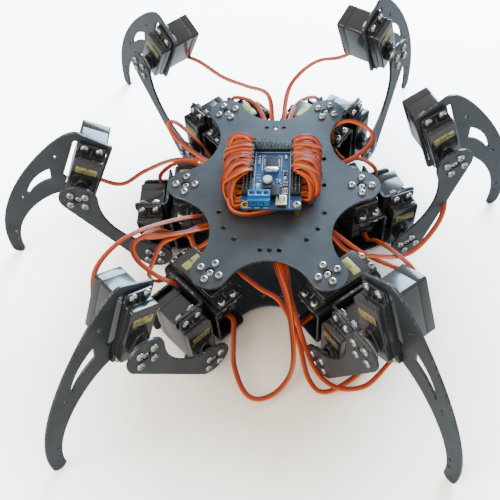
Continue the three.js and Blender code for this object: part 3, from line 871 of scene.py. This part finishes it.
def build_leg(name, shapes):
    leg = Leg(name)
    mirror_web = Matrix.Diagonal((1, -1, 1, 1))
    hip_end, knee_end = (leg.femur @ axes_frame((x, 0, 0), (0, 1, 0), (1, 0, 0))
                         for x in (0, leg.thigh_length))
    for piece, shape, place, part, slot, *nodes in (
            ("coxa_case", "case", leg.coxa, "coxa", "servo_case", "coxa_servo"),
            ("coxa_channel", "bracket", leg.coxa @ mirror_web, "coxa", "bracket", "coxa_bracket"),
            ("femur_channel", "bracket", leg.hip, "coxa", "bracket", "femur_bracket"),
            ("femur_case", "case", leg.hip, "coxa", "servo_case", "femur_servo"),
            ("tibia_case", "case", leg.knee, "tibia", "servo_case", "tibia_servo"),
            ("coxa_horn", "horn", leg.coxa, CHASSIS, "horn_metal"),
            ("hip_disc", "horn", hip_end, "femur", "horn_metal", "hip_horn"),
            ("knee_disc", "horn", knee_end, "femur", "horn_metal", "knee_horn"),
            ("thigh", "thigh", leg.femur @ shift(0, HORN_TOP + GAP, 0), "femur", "limb_plate", "thigh_plate"),
            ("claw_blade", "claw", leg.tibia @ shift(0, -GAP - SHEET, 0), "tibia", "limb_plate", "claw")):
        leg.piece(piece, shapes[shape], place, part, slot, nodes)
    coxa_screws = Solid()
    coxa_screws.join(shapes["tab_screws"], leg.coxa)
    coxa_screws.join(shapes["tab_screws"], leg.hip)
    coxa_screws.join(shapes["web_screws"], leg.coxa)
    leg.piece("coxa_screws", coxa_screws, None, "coxa", "steel")
    leg.piece("tibia_screws", shapes["tab_screws"], leg.knee, "tibia", "steel")
    leg.piece("thigh_screws", horn_fasteners(leg.thigh_length), leg.femur, "femur", "steel")
    leg.piece("pivot_bearing", shapes["bearing"], leg.coxa, "coxa", "steel")
    leg.piece("pivot_screw", shapes["pivot"], leg.coxa, CHASSIS, "steel")
    return leg


# ---- controller board ---------------------------------------------------------------------------

BOARD_LO, BOARD_HI = (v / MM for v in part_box("controller_board"))
BLOCK_LO, BLOCK_HI = (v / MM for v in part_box("terminal_block"))
PIN_PITCH = 2.54
HEADER_X = 17.0
HEADER_H = 2.5
CORNER_X, CORNER_INSET = 18.0, 4.0


def block(solid, x, y, size, material, lift=0.0, corner=0.3, edge=0.15):
    """Rounded block standing on the board at x, y."""
    w, d, h = size
    z = BOARD_HI.z + lift
    lo, hi = (x - w / 2, y - d / 2, z), (x + w / 2, y + d / 2, z + h)
    rounded_box(solid, lo, hi, material, corner, edge, None, 2)


def pins(solid, xs, ys, height):
    """Grid of square pins with pointed ends, each in its own cell of a black strip."""
    for y in ys:
        width = xs[-1] - xs[0] + PIN_PITCH
        block(solid, (xs[0] + xs[-1]) / 2, y, (width, PIN_PITCH - 0.05, HEADER_H), BLACK_PLASTIC, 0, 0.4)
        for x in xs:
            z = BOARD_HI.z + HEADER_H - 0.5
            top = BOARD_HI.z + height
            square = shift(x, y, 0) @ spin(math.pi / 4)
            lathe(solid, [(0, z), (0.42, z), (0.42, top - 0.6), (0.2, top), (0, top)], TIN, 4, square)


def ink_line(solid, x0, y0, x1, y1, width=0.4):
    lo = (min(x0, x1) - width / 2, min(y0, y1) - width / 2, BOARD_HI.z - 0.02)
    hi = (max(x0, x1) + width / 2, max(y0, y1) + width / 2, BOARD_HI.z + 0.05)
    rounded_box(solid, lo, hi, INK, 0.1, 0.02, None, 1)


def corner_places():
    rows = (BOARD_LO.y + CORNER_INSET, BOARD_HI.y - CORNER_INSET)
    return [(side * CORNER_X, y) for y in rows for side in (-1, 1)]


def board_ink(board):
    """Plain white lines, dashes and dots printed on the board."""
    long_lines = [(-12.6, -17, -12.6, 31), (12.8, -29, 12.8, 31), (-12.6, 22.6, 12.8, 22.6)]
    front_dashes = [(x, -29.5, x + 3, -29.5) for x in (-17, -11, -5)]
    dots = [(x - 0.3, -23.2, x + 0.3, -23.2) for x in (13.9, 17, 19.5, -19.5, -17)]
    chip_corners = [(-7.5, 5, -7.5, 19), (6.4, 5, 6.4, 19), (-7.5, 19, -5, 19), (3.9, 19, 6.4, 19)]
    side_dashes = [(-10.8, y, -8.6, y) for y in (1, -2)]
    for ends in long_lines + front_dashes + dots + chip_corners + side_dashes:
        ink_line(board, *ends)


def build_board():
    board = Solid()
    outline = rounded_rect(BOARD_LO.x, BOARD_LO.y, BOARD_HI.x, BOARD_HI.y, 2.0)
    holes = [circle(x, y, HOLE_R, 18) for x, y in corner_places()]
    sheet(board, outline, holes, BOARD_LO.z, BOARD_HI.z, MASK, BOARD_EDGE, 0.1)
    for x, y in corner_places():
        ring = [(1.65, -0.1), (2.9, -0.1), (2.9, 0.06), (1.65, 0.06), (1.65, -0.1)]
        lathe(board, ring, BRASS, 24, shift(x, y, BOARD_HI.z))
    board_ink(board)
    make_piece("board", board, CHASSIS, ["controller_board"])
    parts = Solid()
    rows = [BOARD_HI.y - 3.2 - PIN_PITCH * k for k in (0, 1, 2)]
    pins(parts, [PIN_PITCH * (k - 4.5) for k in range(10)], rows, 7.4)
    for side in (-1, 1):
        columns = [side * HEADER_X + PIN_PITCH * k for k in (-1, 0, 1)]
        pins(parts, columns, [-17.5 + PIN_PITCH * k for k in range(20)], 8.0)
    flat_chip(parts, -0.6, 12, 9.2)
    block(parts, -0.7, 3.6, (10.6, 4.4, 3.4), TIN, 0, 2.15, 0.6)
    block(parts, -3, -5.4, (6.6, 6.6, 1.2), BLACK_PLASTIC, 0, 1.2)
    turned_part(parts, -3, -5.4, [(0, 1), (3.1, 1), (3.2, 1.4), (3.2, 3.2), (2.8, 3.6), (0, 3.6)], 28)
    turned_part(parts, -9.3, -13.5, [(0, 0), (1.5, 0), (1.5, 5.6), (1.1, 6.4), (0, 6.6)], 20)
    block(parts, 2.9, -17.4, (6.0, 9.4, 5.4), BLACK_PLASTIC, 0, 0.4)
    turned_part(parts, 9.4, -3.4, [(0, 0), (1.3, 0), (1.3, 2.0), (1.0, 2.4), (0, 2.5)], 20)
    small_chip(parts, -0.8, -11.2, (9.6, 3.0))
    usb_socket(parts, 7.2, -25.6)
    for x, y, w, d, look in (
            (9.4, -15, 4.4, 4.6, CERAMIC), (9.6, -9.4, 2.6, 1.4, CERAMIC), (9.6, -7, 2.6, 1.4, TIN),
            (3.4, -5.6, 1.3, 2.4, CHIP), (5.4, -5.6, 1.3, 2.4, TIN), (6.4, -9.4, 1.3, 2.4, CHIP),
            (9.4, 0.6, 2.4, 1.3, CHIP), (9.4, 3.4, 2.4, 1.3, CERAMIC), (-9.8, 12, 1.3, 2.4, CERAMIC),
            (9.5, 17.5, 1.6, 3, TIN), (-9.8, 16.4, 1.3, 2.4, CHIP), (-8.7, -7, 1.3, 2.4, CHIP)):
        tinned_part(parts, x, y, w, d, look)
    make_piece("board_parts", parts, CHASSIS)
    build_board_mounts()


def turned_part(solid, x, y, profile, sides):
    """White round part standing on the board."""
    lathe(solid, profile, INK, sides, shift(x, y, BOARD_HI.z))


def tinned_part(solid, x, y, w, d, look):
    """Small flat part with a tinned cap at each end of its longer side."""
    block(solid, x, y, (w, d, 0.9), look, 0, 0.2)
    for end in (-1, 1):
        along = (end * w / 2, 0) if w > d else (0, end * d / 2)
        cap = (0.5, d * 0.9, 0.95) if w > d else (w * 0.9, 0.5, 0.95)
        block(solid, x + along[0], y + along[1], cap, TIN, 0, 0.1, 0.05)


def flat_chip(solid, x, y, size):
    """Square chip with leads on all four sides."""
    block(solid, x, y, (size, size, 1.4), CHIP, 0.1, 0.3, 0.25)
    # Pin-one dimple: a dark disc of painted shade.
    dot = [(0, 1.5), (0.5, 1.5), (0.5, 1.53), (0, 1.53)]
    lathe(solid, dot, RECESS_SHADE, 14, shift(x - 3.4, y + 3.4, BOARD_HI.z))
    for k in range(11):
        offset = (k - 5) * 0.76
        for side in (-1, 1):
            out = side * (size / 2 + 0.4)
            block(solid, x + offset, y + out, (0.36, 1.2, 0.3), TIN, 0, 0.08, 0.04)
            block(solid, x + out, y + offset, (1.2, 0.36, 0.3), TIN, 0, 0.08, 0.04)


def small_chip(solid, x, y, size):
    """Long chip with leads on its two long sides."""
    width, depth = size
    block(solid, x, y, (width, depth, 1.5), CHIP, 0.1, 0.3, 0.2)
    for k in range(8):
        for side in (-1, 1):
            lead_x, lead_y = x + (k - 3.5) * PIN_PITCH / 2, y + side * (depth / 2 + 0.5)
            block(solid, lead_x, lead_y, (0.5, 1.2, 0.4), TIN, 0, 0.1, 0.05)


def usb_socket(solid, x, y):
    """Folded tin shell; its mouth towards the board's front edge and two slots on its top are dark plates of
    painted shade.
    """
    block(solid, x, y + 0.6, (7.6, 8.2, 3.9), GILT, 0, 0.5, 0.4)
    block(solid, x, y - 3.7, (7.9, 1.0, 4.1), GILT, 0, 0.3, 0.2)
    block(solid, x, y - 4.1, (6.2, 0.5, 2.4), RECESS_SHADE, 0.8, 0.2, 0.05)
    for dx in (-2, 2):
        block(solid, x + dx, y + 1, (0.9, 3, 0.1), RECESS_SHADE, 3.87, 0.3, 0.03)


def build_board_mounts():
    """Four hexagonal standoffs with their screws. The front left one has no screw on top."""
    mounts = Solid()
    for k, (x, y) in enumerate(corner_places()):
        outline, bore = circle(x, y, 2.9, 6), circle(x, y, SCREW_R, 16)
        sheet(mounts, outline, [bore], DECK_TOP, BOARD_LO.z, BRASS, None, 0.2)
        if k:
            mounts.join(pan_screw(3.0, 1.7, 2.7), shift(x, y, BOARD_HI.z + 0.05))
        mounts.join(pan_screw(4.0, 1.7, 2.7), shift(x, y, TOP_UNDERSIDE) @ UPSIDE_DOWN)
    make_piece("board_mounts", mounts, CHASSIS)


def build_terminal():
    """Three-way screw terminal: holed lid, body and a front wall with wire entries."""
    terminal = Solid()
    lo, hi = BLOCK_LO, BLOCK_HI
    way_pitch, half_way, half_slot = 5.0, 1.4, 0.25
    ways = [(lo.x + hi.x) / 2 + way_pitch * k for k in (-1, 0, 1)]
    lid_y, lid_z, front_z = lo.y + 3.2, hi.z - 2.2, hi.z - 1.4
    screw_y = (lid_y + hi.y) / 2
    rounded_box(terminal, (lo.x, lo.y + 1.4, lo.z), (hi.x, hi.y, lid_z), TERMINAL, 0.4, 0.2)
    lid = rounded_rect(lo.x, lid_y, hi.x, hi.y, 0.4, 3)
    screw_holes = [circle(x, screw_y, 1.75) for x in ways]
    sheet(terminal, lid, screw_holes, lid_z - 0.1, hi.z, TERMINAL, None, 0.3, 2)
    rounded_box(terminal, (lo.x, lo.y + 1.3, lid_z - 0.1), (hi.x, lo.y + 3.3, front_z), TERMINAL, 0.3, 0.3)
    entries = [rounded_rect(x - 2.0, lo.z + 0.6, x + 2.0, lid_z - 0.6, 0.4, 3) for x in ways]
    wall = rounded_rect(lo.x, lo.z, hi.x, front_z, 0.4, 3)
    sheet(terminal, wall, entries, -(lo.y + 1.6), -lo.y, TERMINAL, None, 0.25, 2, UPRIGHT)
    for x in ways:
        head = [(0, 0), (1.6, 0), (1.6, 0.6), (1.3, 0.8), (0, 0.8)]
        lathe(terminal, head, TIN, 20, shift(x, screw_y, lid_z))
        # Each screw's slot is a dark bar on its head, painted shade in place of a cut.
        slot = rectangle(x - half_way, screw_y - half_slot, x + half_way, screw_y + half_slot)
        sheet(terminal, slot, [], lid_z + 0.5, lid_z + 0.84, RECESS_SHADE, None, 0.03)
        clamp_lo, clamp_hi = (x - half_way, lo.y + 0.9, lo.z + 0.9), (x + half_way, lo.y + 1.45, lid_z - 0.9)
        rounded_box(terminal, clamp_lo, clamp_hi, TIN, 0.2, 0.1)
    make_piece("terminal", terminal, CHASSIS, ["terminal_block"])


# ---- cables -------------------------------------------------------------------------------------

PLUG_H = 7.0
RIBBON_STEP = 1.5 * PIN_PITCH
BUNDLE_WIRE_R = 0.72
BUNDLE_SEED, LEG_CABLE_SEED = 11, 6


def build_bundle(side, count, rear, sweep, nodes):
    """Ribbons that rise from the plugs, arch outwards and fold back under the board, in several layers."""
    bundle = Solid()
    rng = random.Random(BUNDLE_SEED + side)
    for i in range(count):
        y = BOARD_HI.y - rear - RIBBON_STEP * i
        forward = i / (count - 1)
        low = (3 * PIN_PITCH, PIN_PITCH - 0.1, PLUG_H)
        block(bundle, side * HEADER_X, y, low, BLACK_PLASTIC, HEADER_H, 0.4)
        bundle_ribbon(bundle, side, y, forward, sweep, 0.0, rng)
        bundle_ribbon(bundle, side, y + RIBBON_STEP / 2, forward, sweep, 1.9, rng)
        if i >= count - 3:
            bundle_ribbon(bundle, side, y, forward, sweep, 4.2, rng)
            bundle_ribbon(bundle, side, y - 0.4 * RIBBON_STEP, forward, 1.2 * sweep, 6.4, rng)
    name = "plug_cables_left" if side < 0 else "plug_cables_right"
    make_piece(name, bundle, CHASSIS, nodes)


def bundle_ribbon(bundle, side, y, forward, sweep, inner, rng):
    """One arch: forward is 0 for the rearmost plug and 1 for the front one; inner shrinks the arch."""
    top = BOARD_HI.z
    swell = rng.uniform(-2.0, 0.9) - inner
    lift = rng.uniform(-1.5, 1.1) - 0.8 * inner
    lean = rng.uniform(-3.0, 3.0)
    reach = sweep * forward ** 1.5
    tuck = 0.82 * (y + reach)
    points = [(14.6 + inner / 2, y, top + PLUG_H + 1.4 - inner / 4),
              (17.0 + inner / 3, y + 0.4 * lean, top + 10.4 + lift / 2),
              (22.5, y + 0.10 * reach + lean, top + 12.0 + lift),
              (29.5 + swell / 2, y + 0.30 * reach + lean, top + 10.4 + lift),
              (34.2 + swell, y + 0.55 * reach - 0.6 * lean, top + 4.6 + lift / 2),
              (34.4 + swell, y + 0.80 * reach - lean, top - 1.8),
              (29.5 + swell / 2, y + 0.95 * reach, top - 6.6 + inner / 4),
              (18, tuck, top - 5.8 + rng.uniform(-1.4, 1.4)),
              (5, 0.5 * tuck, top - 5.6 + rng.uniform(-1.4, 1.4))]
    frames = path_frames(smooth_path([(side * x, py, z) for x, py, z in points], 6), (0, 1, 0.25 * lean))
    wires(bundle, frames, BUNDLE_WIRE_R, 8)


def build_tucked_cables():
    """Slack of the left bundle, folded along the front edge of the board and under it."""
    tucked = Solid()
    low = DECK_TOP + 2.4
    for k in range(3):
        layer = low + 1.5 * k
        run = [(-31, -19 - k, layer + 4), (-27.5, -26 - k, layer + 0.4), (-18, -29 - k, layer - 0.6),
               (-4, -26.5 - 0.7 * k, layer - 1), (6, -22 - k, layer - 0.6), (16, -17, layer),
               (24, -12, layer + 1)]
        frames = path_frames(smooth_path(run, 6), (0, 0.3 * k - 0.6, -1))
        wires(tucked, frames, BUNDLE_WIRE_R, 8)
    make_piece("plug_cables_tucked", tucked, CHASSIS)


def build_bundles():
    build_bundle(-1, 9, 4.2, -19.0, ["cable_bundle_left"])
    build_bundle(1, 8, 7.4, -14.0, ["cable_bundle_right"])
    build_tucked_cables()


def gap_between(a, b):
    """Point just inside the deck's edge, midway along the arc between two legs' lobes."""
    p, q = (Vector(JOINTS[f"coxa_yaw_{n}"]["pos_m"]) / MM for n in (a, b))
    middle = (p + q).to_2d() / 2
    if middle.x * (q.y - p.y) - middle.y * (q.x - p.x) < 0:
        p, q = q, p
    cx, cy, radius = concave_arc(tuple(p.to_2d()), tuple(q.to_2d()))[:3]
    centre = Vector((cx, cy))
    return centre * (1 - (radius + 4.0) / centre.length)


GAPS = {
    "front": gap_between("front_left", "front_right"),
    "back": gap_between("back_left", "back_right"),
    "left_front": gap_between("front_left", "middle_left"),
    "left_back": gap_between("middle_left", "back_left"),
    "right_front": gap_between("front_right", "middle_right"),
    "right_back": gap_between("middle_right", "back_right"),
}

# Where each servo's cable runs between its case and the gap it enters, in the body's axes. The number is
# the entry's offset along the gap, counter-clockwise seen from above.
RUNS = {
    "front_left": {
        "tibia": ("left_front", -7, [(-112, -104, 62), (-111, -84, 75), (-94, -60, 77), (-68, -36, 64)]),
        "femur": ("left_front", 4, [(-66, -84, 14), (-57, -73, 34), (-66, -75, 43), (-78, -73, 51),
                                    (-90, -66, 58), (-94, -57, 62), (-86, -50, 64), (-66, -44, 59)]),
        "coxa": ("front", 4, [(-25, -102, 14), (-24, -118, 6), (-16, -135, 0.5), (-5, -139, -1), (9, -131, 1),
                              (17, -115, 10), (13, -88, 42)]),
    },
    "middle_left": {
        "tibia": ("left_back", -3, [(-130, 9, 55), (-113, 6, 54), (-96, 16, 58), (-74, 30, 55)]),
        "femur": ("left_back", 5, [(-88, 22, 26), (-88, 22, 46), (-72, 32, 50)]),
        "coxa": ("left_front", 14, [(-66, -22, 26), (-82, -34, 50), (-89, -47, 59), (-77, -46, 58),
                                    (-62, -39, 54), (-57, -41, 51), (-52, -47, 47)]),
    },
    "back_left": {
        "tibia": ("back", 3, [(-68, 136, 62), (-46, 118, 60), (-26, 107, 60), (-7, 97, 58)]),
        "femur": ("back", 6, [(-40, 108, 26), (-38, 108, 46), (-18, 94, 52)]),
        "coxa": ("left_back", 0, [(-54, 60, 24), (-58, 54, 44), (-76, 60, 63), (-83, 57, 66), (-76, 44, 64),
                                  (-58, 32, 57)]),
    },
    "front_right": {
        "tibia": ("front", 8, [(92, -122, 52), (82, -120, 26), (66, -130, 6), (46, -129, 0), (31, -117, 6),
                               (19, -95, 32)]),
        "femur": ("front", -25, [(72, -104, 0), (58, -122, 0), (38, -133, 0), (27, -124, 4),
                                 (20, -105, 22), (8, -84, 36), (-8, -75, 41)]),
        "coxa": ("front", 11, [(20, -92, 20), (16, -88, 32)]),
    },
    "middle_right": {
        "tibia": ("right_front", -9, [(121, 14, 64), (124, -6, 46), (116, -21, 35), (98, -38, 30),
                                      (76, -46, 38), (54, -47, 45)]),
        "femur": ("right_back", -3, [(78, 30, 26), (76, 30, 46), (62, 36, 50)]),
        "coxa": ("right_front", -6, [(76, -22, 24), (86, -36, 32), (99, -56, 37), (91, -52, 31),
                                     (64, -46, 42)]),
    },
    "back_right": {
        "tibia": ("back", -5, [(50, 134, 66), (33, 135, 62), (18, 123, 59), (8, 105, 54)]),
        "femur": ("back", -8, [(34, 108, 26), (32, 108, 46), (16, 96, 50)]),
        "coxa": ("right_back", 0, [(47, 62, 34), (45, 64, 54), (56, 62, 64), (70, 53, 65), (74, 44, 61),
                                   (62, 35, 54)]),
    },
}
# Slack folded outside the deck: it leaves a gap and comes back to it.
SLACK = {
    "front_left": ("left_front", [(-66, -45, 57), (-75, -52, 58), (-81, -60, 50), (-85, -67, 40),
                                  (-80, -62, 26), (-66, -46, 22)]),
}
CABLE_EXIT = (11.2, 0, -23)
CABLE_LEAD = {"coxa": 7, "femur": 5, "tibia": 7}
CABLE_STEPS = 7


def under_deck(entry, rng):
    """The run from the deck's edge to the opening under the controller board."""
    return [Vector((entry.x, entry.y, TOP_UNDERSIDE - 7 + rng.uniform(-3, 1))),
            Vector((entry.x * 0.62, entry.y * 0.62, TOP_UNDERSIDE - 14 + rng.uniform(-6, 4))),
            Vector((entry.x * 0.3, entry.y * 0.22, TOP_UNDERSIDE - 9 + rng.uniform(-3, 3))),
            Vector((entry.x * 0.16, entry.y * 0.06, TOP_UNDERSIDE + 5))]


def blended_cable(name, frames):
    """A length of cable between two bodies joined by a joint; its piece rides on no body."""
    cable = Solid()
    wires(cable, frames)
    piece = make_piece(name, cable, None)
    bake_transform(piece)


def build_leg_cables(leg, rng):
    """Each servo's cable; only the tibia's is cut where it passes from one moving body to the next."""
    coxa, femur, tibia = (leg.body(part) for part in ("coxa", "femur", "tibia"))
    for servo, place in (("coxa", leg.coxa), ("femur", leg.hip), ("tibia", leg.knee)):
        gap_name, offset, waypoints = RUNS[leg.name][servo]
        gap = GAPS[gap_name]
        entry = gap + Vector((-gap.y, gap.x)).normalized() * offset
        out = Vector(CABLE_EXIT)
        start = [place @ out, place @ (out + Vector((CABLE_LEAD[servo], 0, -0.5)))]
        inside = under_deck(entry, rng)
        points = start + [Vector(w) for w in waypoints] + inside
        frames = path_frames(smooth_path(points, CABLE_STEPS), place.to_3x3() @ Vector((0, 1, 0)))
        frames = settle_flat(frames)
        name = f"{servo}_cable_{leg.name}"
        edge = len(frames) - 1 - (len(inside) - 1) * CABLE_STEPS
        last = 0
        if servo == "tibia":
            knee, hip = 2 * CABLE_STEPS, len(waypoints) * CABLE_STEPS
            blended_cable(f"{name}_knee", frames[:knee + 1])
            blended_cable(f"{name}_hip", frames[knee:hip + 1])
            last, edge = hip, edge - CABLE_STEPS
        blended_cable(name, frames[last:])


def build_slack(name, rng):
    """A folded loop of cable at the coxa's far end; its piece rides on no body."""
    gap_name, waypoints = SLACK[name]
    inside = under_deck(GAPS[gap_name], rng)
    points = inside[:2][::-1] + [Vector(w) for w in waypoints] + [inside[1] + Vector((0, 0, -9))]
    frames = settle_flat(path_frames(smooth_path(points, CABLE_STEPS), (0, 1, 0)))
    blended_cable(f"slack_cable_{name}", frames)


# ---- stage --------------------------------------------------------------------------------------

WINDOW_POWER = 108
FILL_POWER = 28
FLOOR_GLARE = 5.5
BACKDROP = 6.0


def floor_paper():
    """White paper: it looks overexposed to the camera, with a painted warm shadow around the robot, but
    throws ordinary light back on the robot.
    """
    material, tree, shader = node_material("floor_paper")
    tree.nodes.remove(shader)
    # Painted shadow: to the camera the paper gets darker and warmer towards a point under the robot's front,
    # fading out from 0.04 to 0.30 m.
    away = add_node(tree, "VectorMath", Vector=coordinates(tree))
    away.operation = "DISTANCE"
    away.inputs[1].default_value = (0, -0.11, FLOOR_Z)
    painted_shadow = ramp(tree, away.outputs["Value"], (0.30, 0.27, 0.225), (1.0, 0.97, 0.92), 0.04, 0.30)
    glare = add_node(tree, "MixRGB", Fac=1.0, Color1=painted_shadow, Color2=rgba(FLOOR_GLARE))
    glare.blend_type = "MULTIPLY"
    plain = ramp(tree, noise(tree, 2.0), (0.62, 0.61, 0.585), (0.66, 0.65, 0.62))
    colour = seen_by_camera(tree, plain, glare.outputs["Color"])
    paper = add_node(tree, "BsdfDiffuse", Color=colour)
    tree.links.new(paper.outputs["BSDF"], tree.nodes["Material Output"].inputs["Surface"])
    return material


def build_stage():
    """Pale floor and soft light."""
    floor_mesh = bpy.data.meshes.new("floor")
    reach = 12.0
    corners = rectangle(-reach, -reach, reach, reach)
    floor_mesh.from_pydata([(x, y, FLOOR_Z) for x, y in corners], [], [(0, 1, 2, 3)])
    floor = bpy.data.objects.new("floor", floor_mesh)
    bpy.context.scene.collection.objects.link(floor)
    floor_mesh.materials.append(floor_paper())

    build_room_light()
    add_light("window", (0.66, 1.83, 0.96), (0, 0, 0.05), (1.75, 1.0), WINDOW_POWER, (0.54, 0.78, 1.0))
    add_light("room_fill", (-1.3, -1.0, 1.5), (0, 0, 0), (1.6, 1.6), FILL_POWER, (1.0, 0.95, 0.88))


def build_room_light():
    """Warm ceiling over cooler walls, which the camera itself sees as a plain white backdrop."""
    world = bpy.data.worlds.new("room")
    world.use_nodes = True
    tree = world.node_tree
    direction = add_node(tree, "TexCoord").outputs["Generated"]
    height = add_node(tree, "SeparateXYZ", Vector=direction).outputs["Z"]
    room = ramp(tree, height, (0.54, 0.57, 0.62), (0.76, 0.73, 0.67), 0.1, 0.75)
    background = tree.nodes["Background"]
    feed(tree, background.inputs["Color"], seen_by_camera(tree, room, rgba(BACKDROP)))
    background.inputs["Strength"].default_value = 1.0
    bpy.context.scene.world = world


def add_light(name, position, target, size, power, colour):
    data = bpy.data.lights.new(name, "AREA")
    data.shape = "RECTANGLE"
    data.size, data.size_y = size
    data.energy = power
    data.color = colour
    light = bpy.data.objects.new(name, data)
    light.location = position
    light.rotation_euler = (Vector(target) - Vector(position)).to_track_quat("-Z", "Y").to_euler()
    bpy.context.scene.collection.objects.link(light)


def build_camera():
    """Camera above the front of the robot, a little to its right, looking steeply down."""
    height_over_deck = 372.5
    position = Vector((23.4, -318.4, TOP_UNDERSIDE + height_over_deck)) * MM
    yaw, pitch, roll = (math.radians(a) for a in (-8.0, 54.64, -5.78))
    forward = Vector((math.sin(yaw) * math.cos(pitch), math.cos(yaw) * math.cos(pitch), -math.sin(pitch)))
    right = Vector((math.cos(yaw), -math.sin(yaw), 0))
    up = right.cross(forward)
    right, up = (right * math.cos(roll) + up * math.sin(roll), up * math.cos(roll) - right * math.sin(roll))
    data = bpy.data.cameras.new("camera")
    data.sensor_width = 36
    data.lens = 48.26
    data.clip_start = 0.01
    camera = bpy.data.objects.new("camera", data)
    matrix = Matrix((right, up, -forward)).transposed().to_4x4()
    matrix.translation = position
    camera.matrix_world = matrix
    bpy.context.scene.collection.objects.link(camera)
    bpy.context.scene.camera = camera


def main():
    shapes = {
        "case": servo_case(),
        "bracket": bracket(),
        "horn": horn_disc(BOSS_TOP + GAP),
        "thigh": thigh_plate(Leg(LEG_NAMES[0]).thigh_length),
        "claw": claw_plate(),
        "tab_screws": tab_fasteners(-GAP - SHEET),
        "web_screws": web_fasteners(),
        "bearing": pivot_bearing(),
        "pivot": pivot_screw(),
    }
    build_plates()
    build_board()
    build_terminal()
    build_bundles()
    rng = random.Random(LEG_CABLE_SEED)
    for name in LEG_NAMES:
        leg = build_leg(name, shapes)
        build_leg_cables(leg, rng)
    for name in SLACK:
        build_slack(name, rng)
    build_stage()
    build_camera()


main()
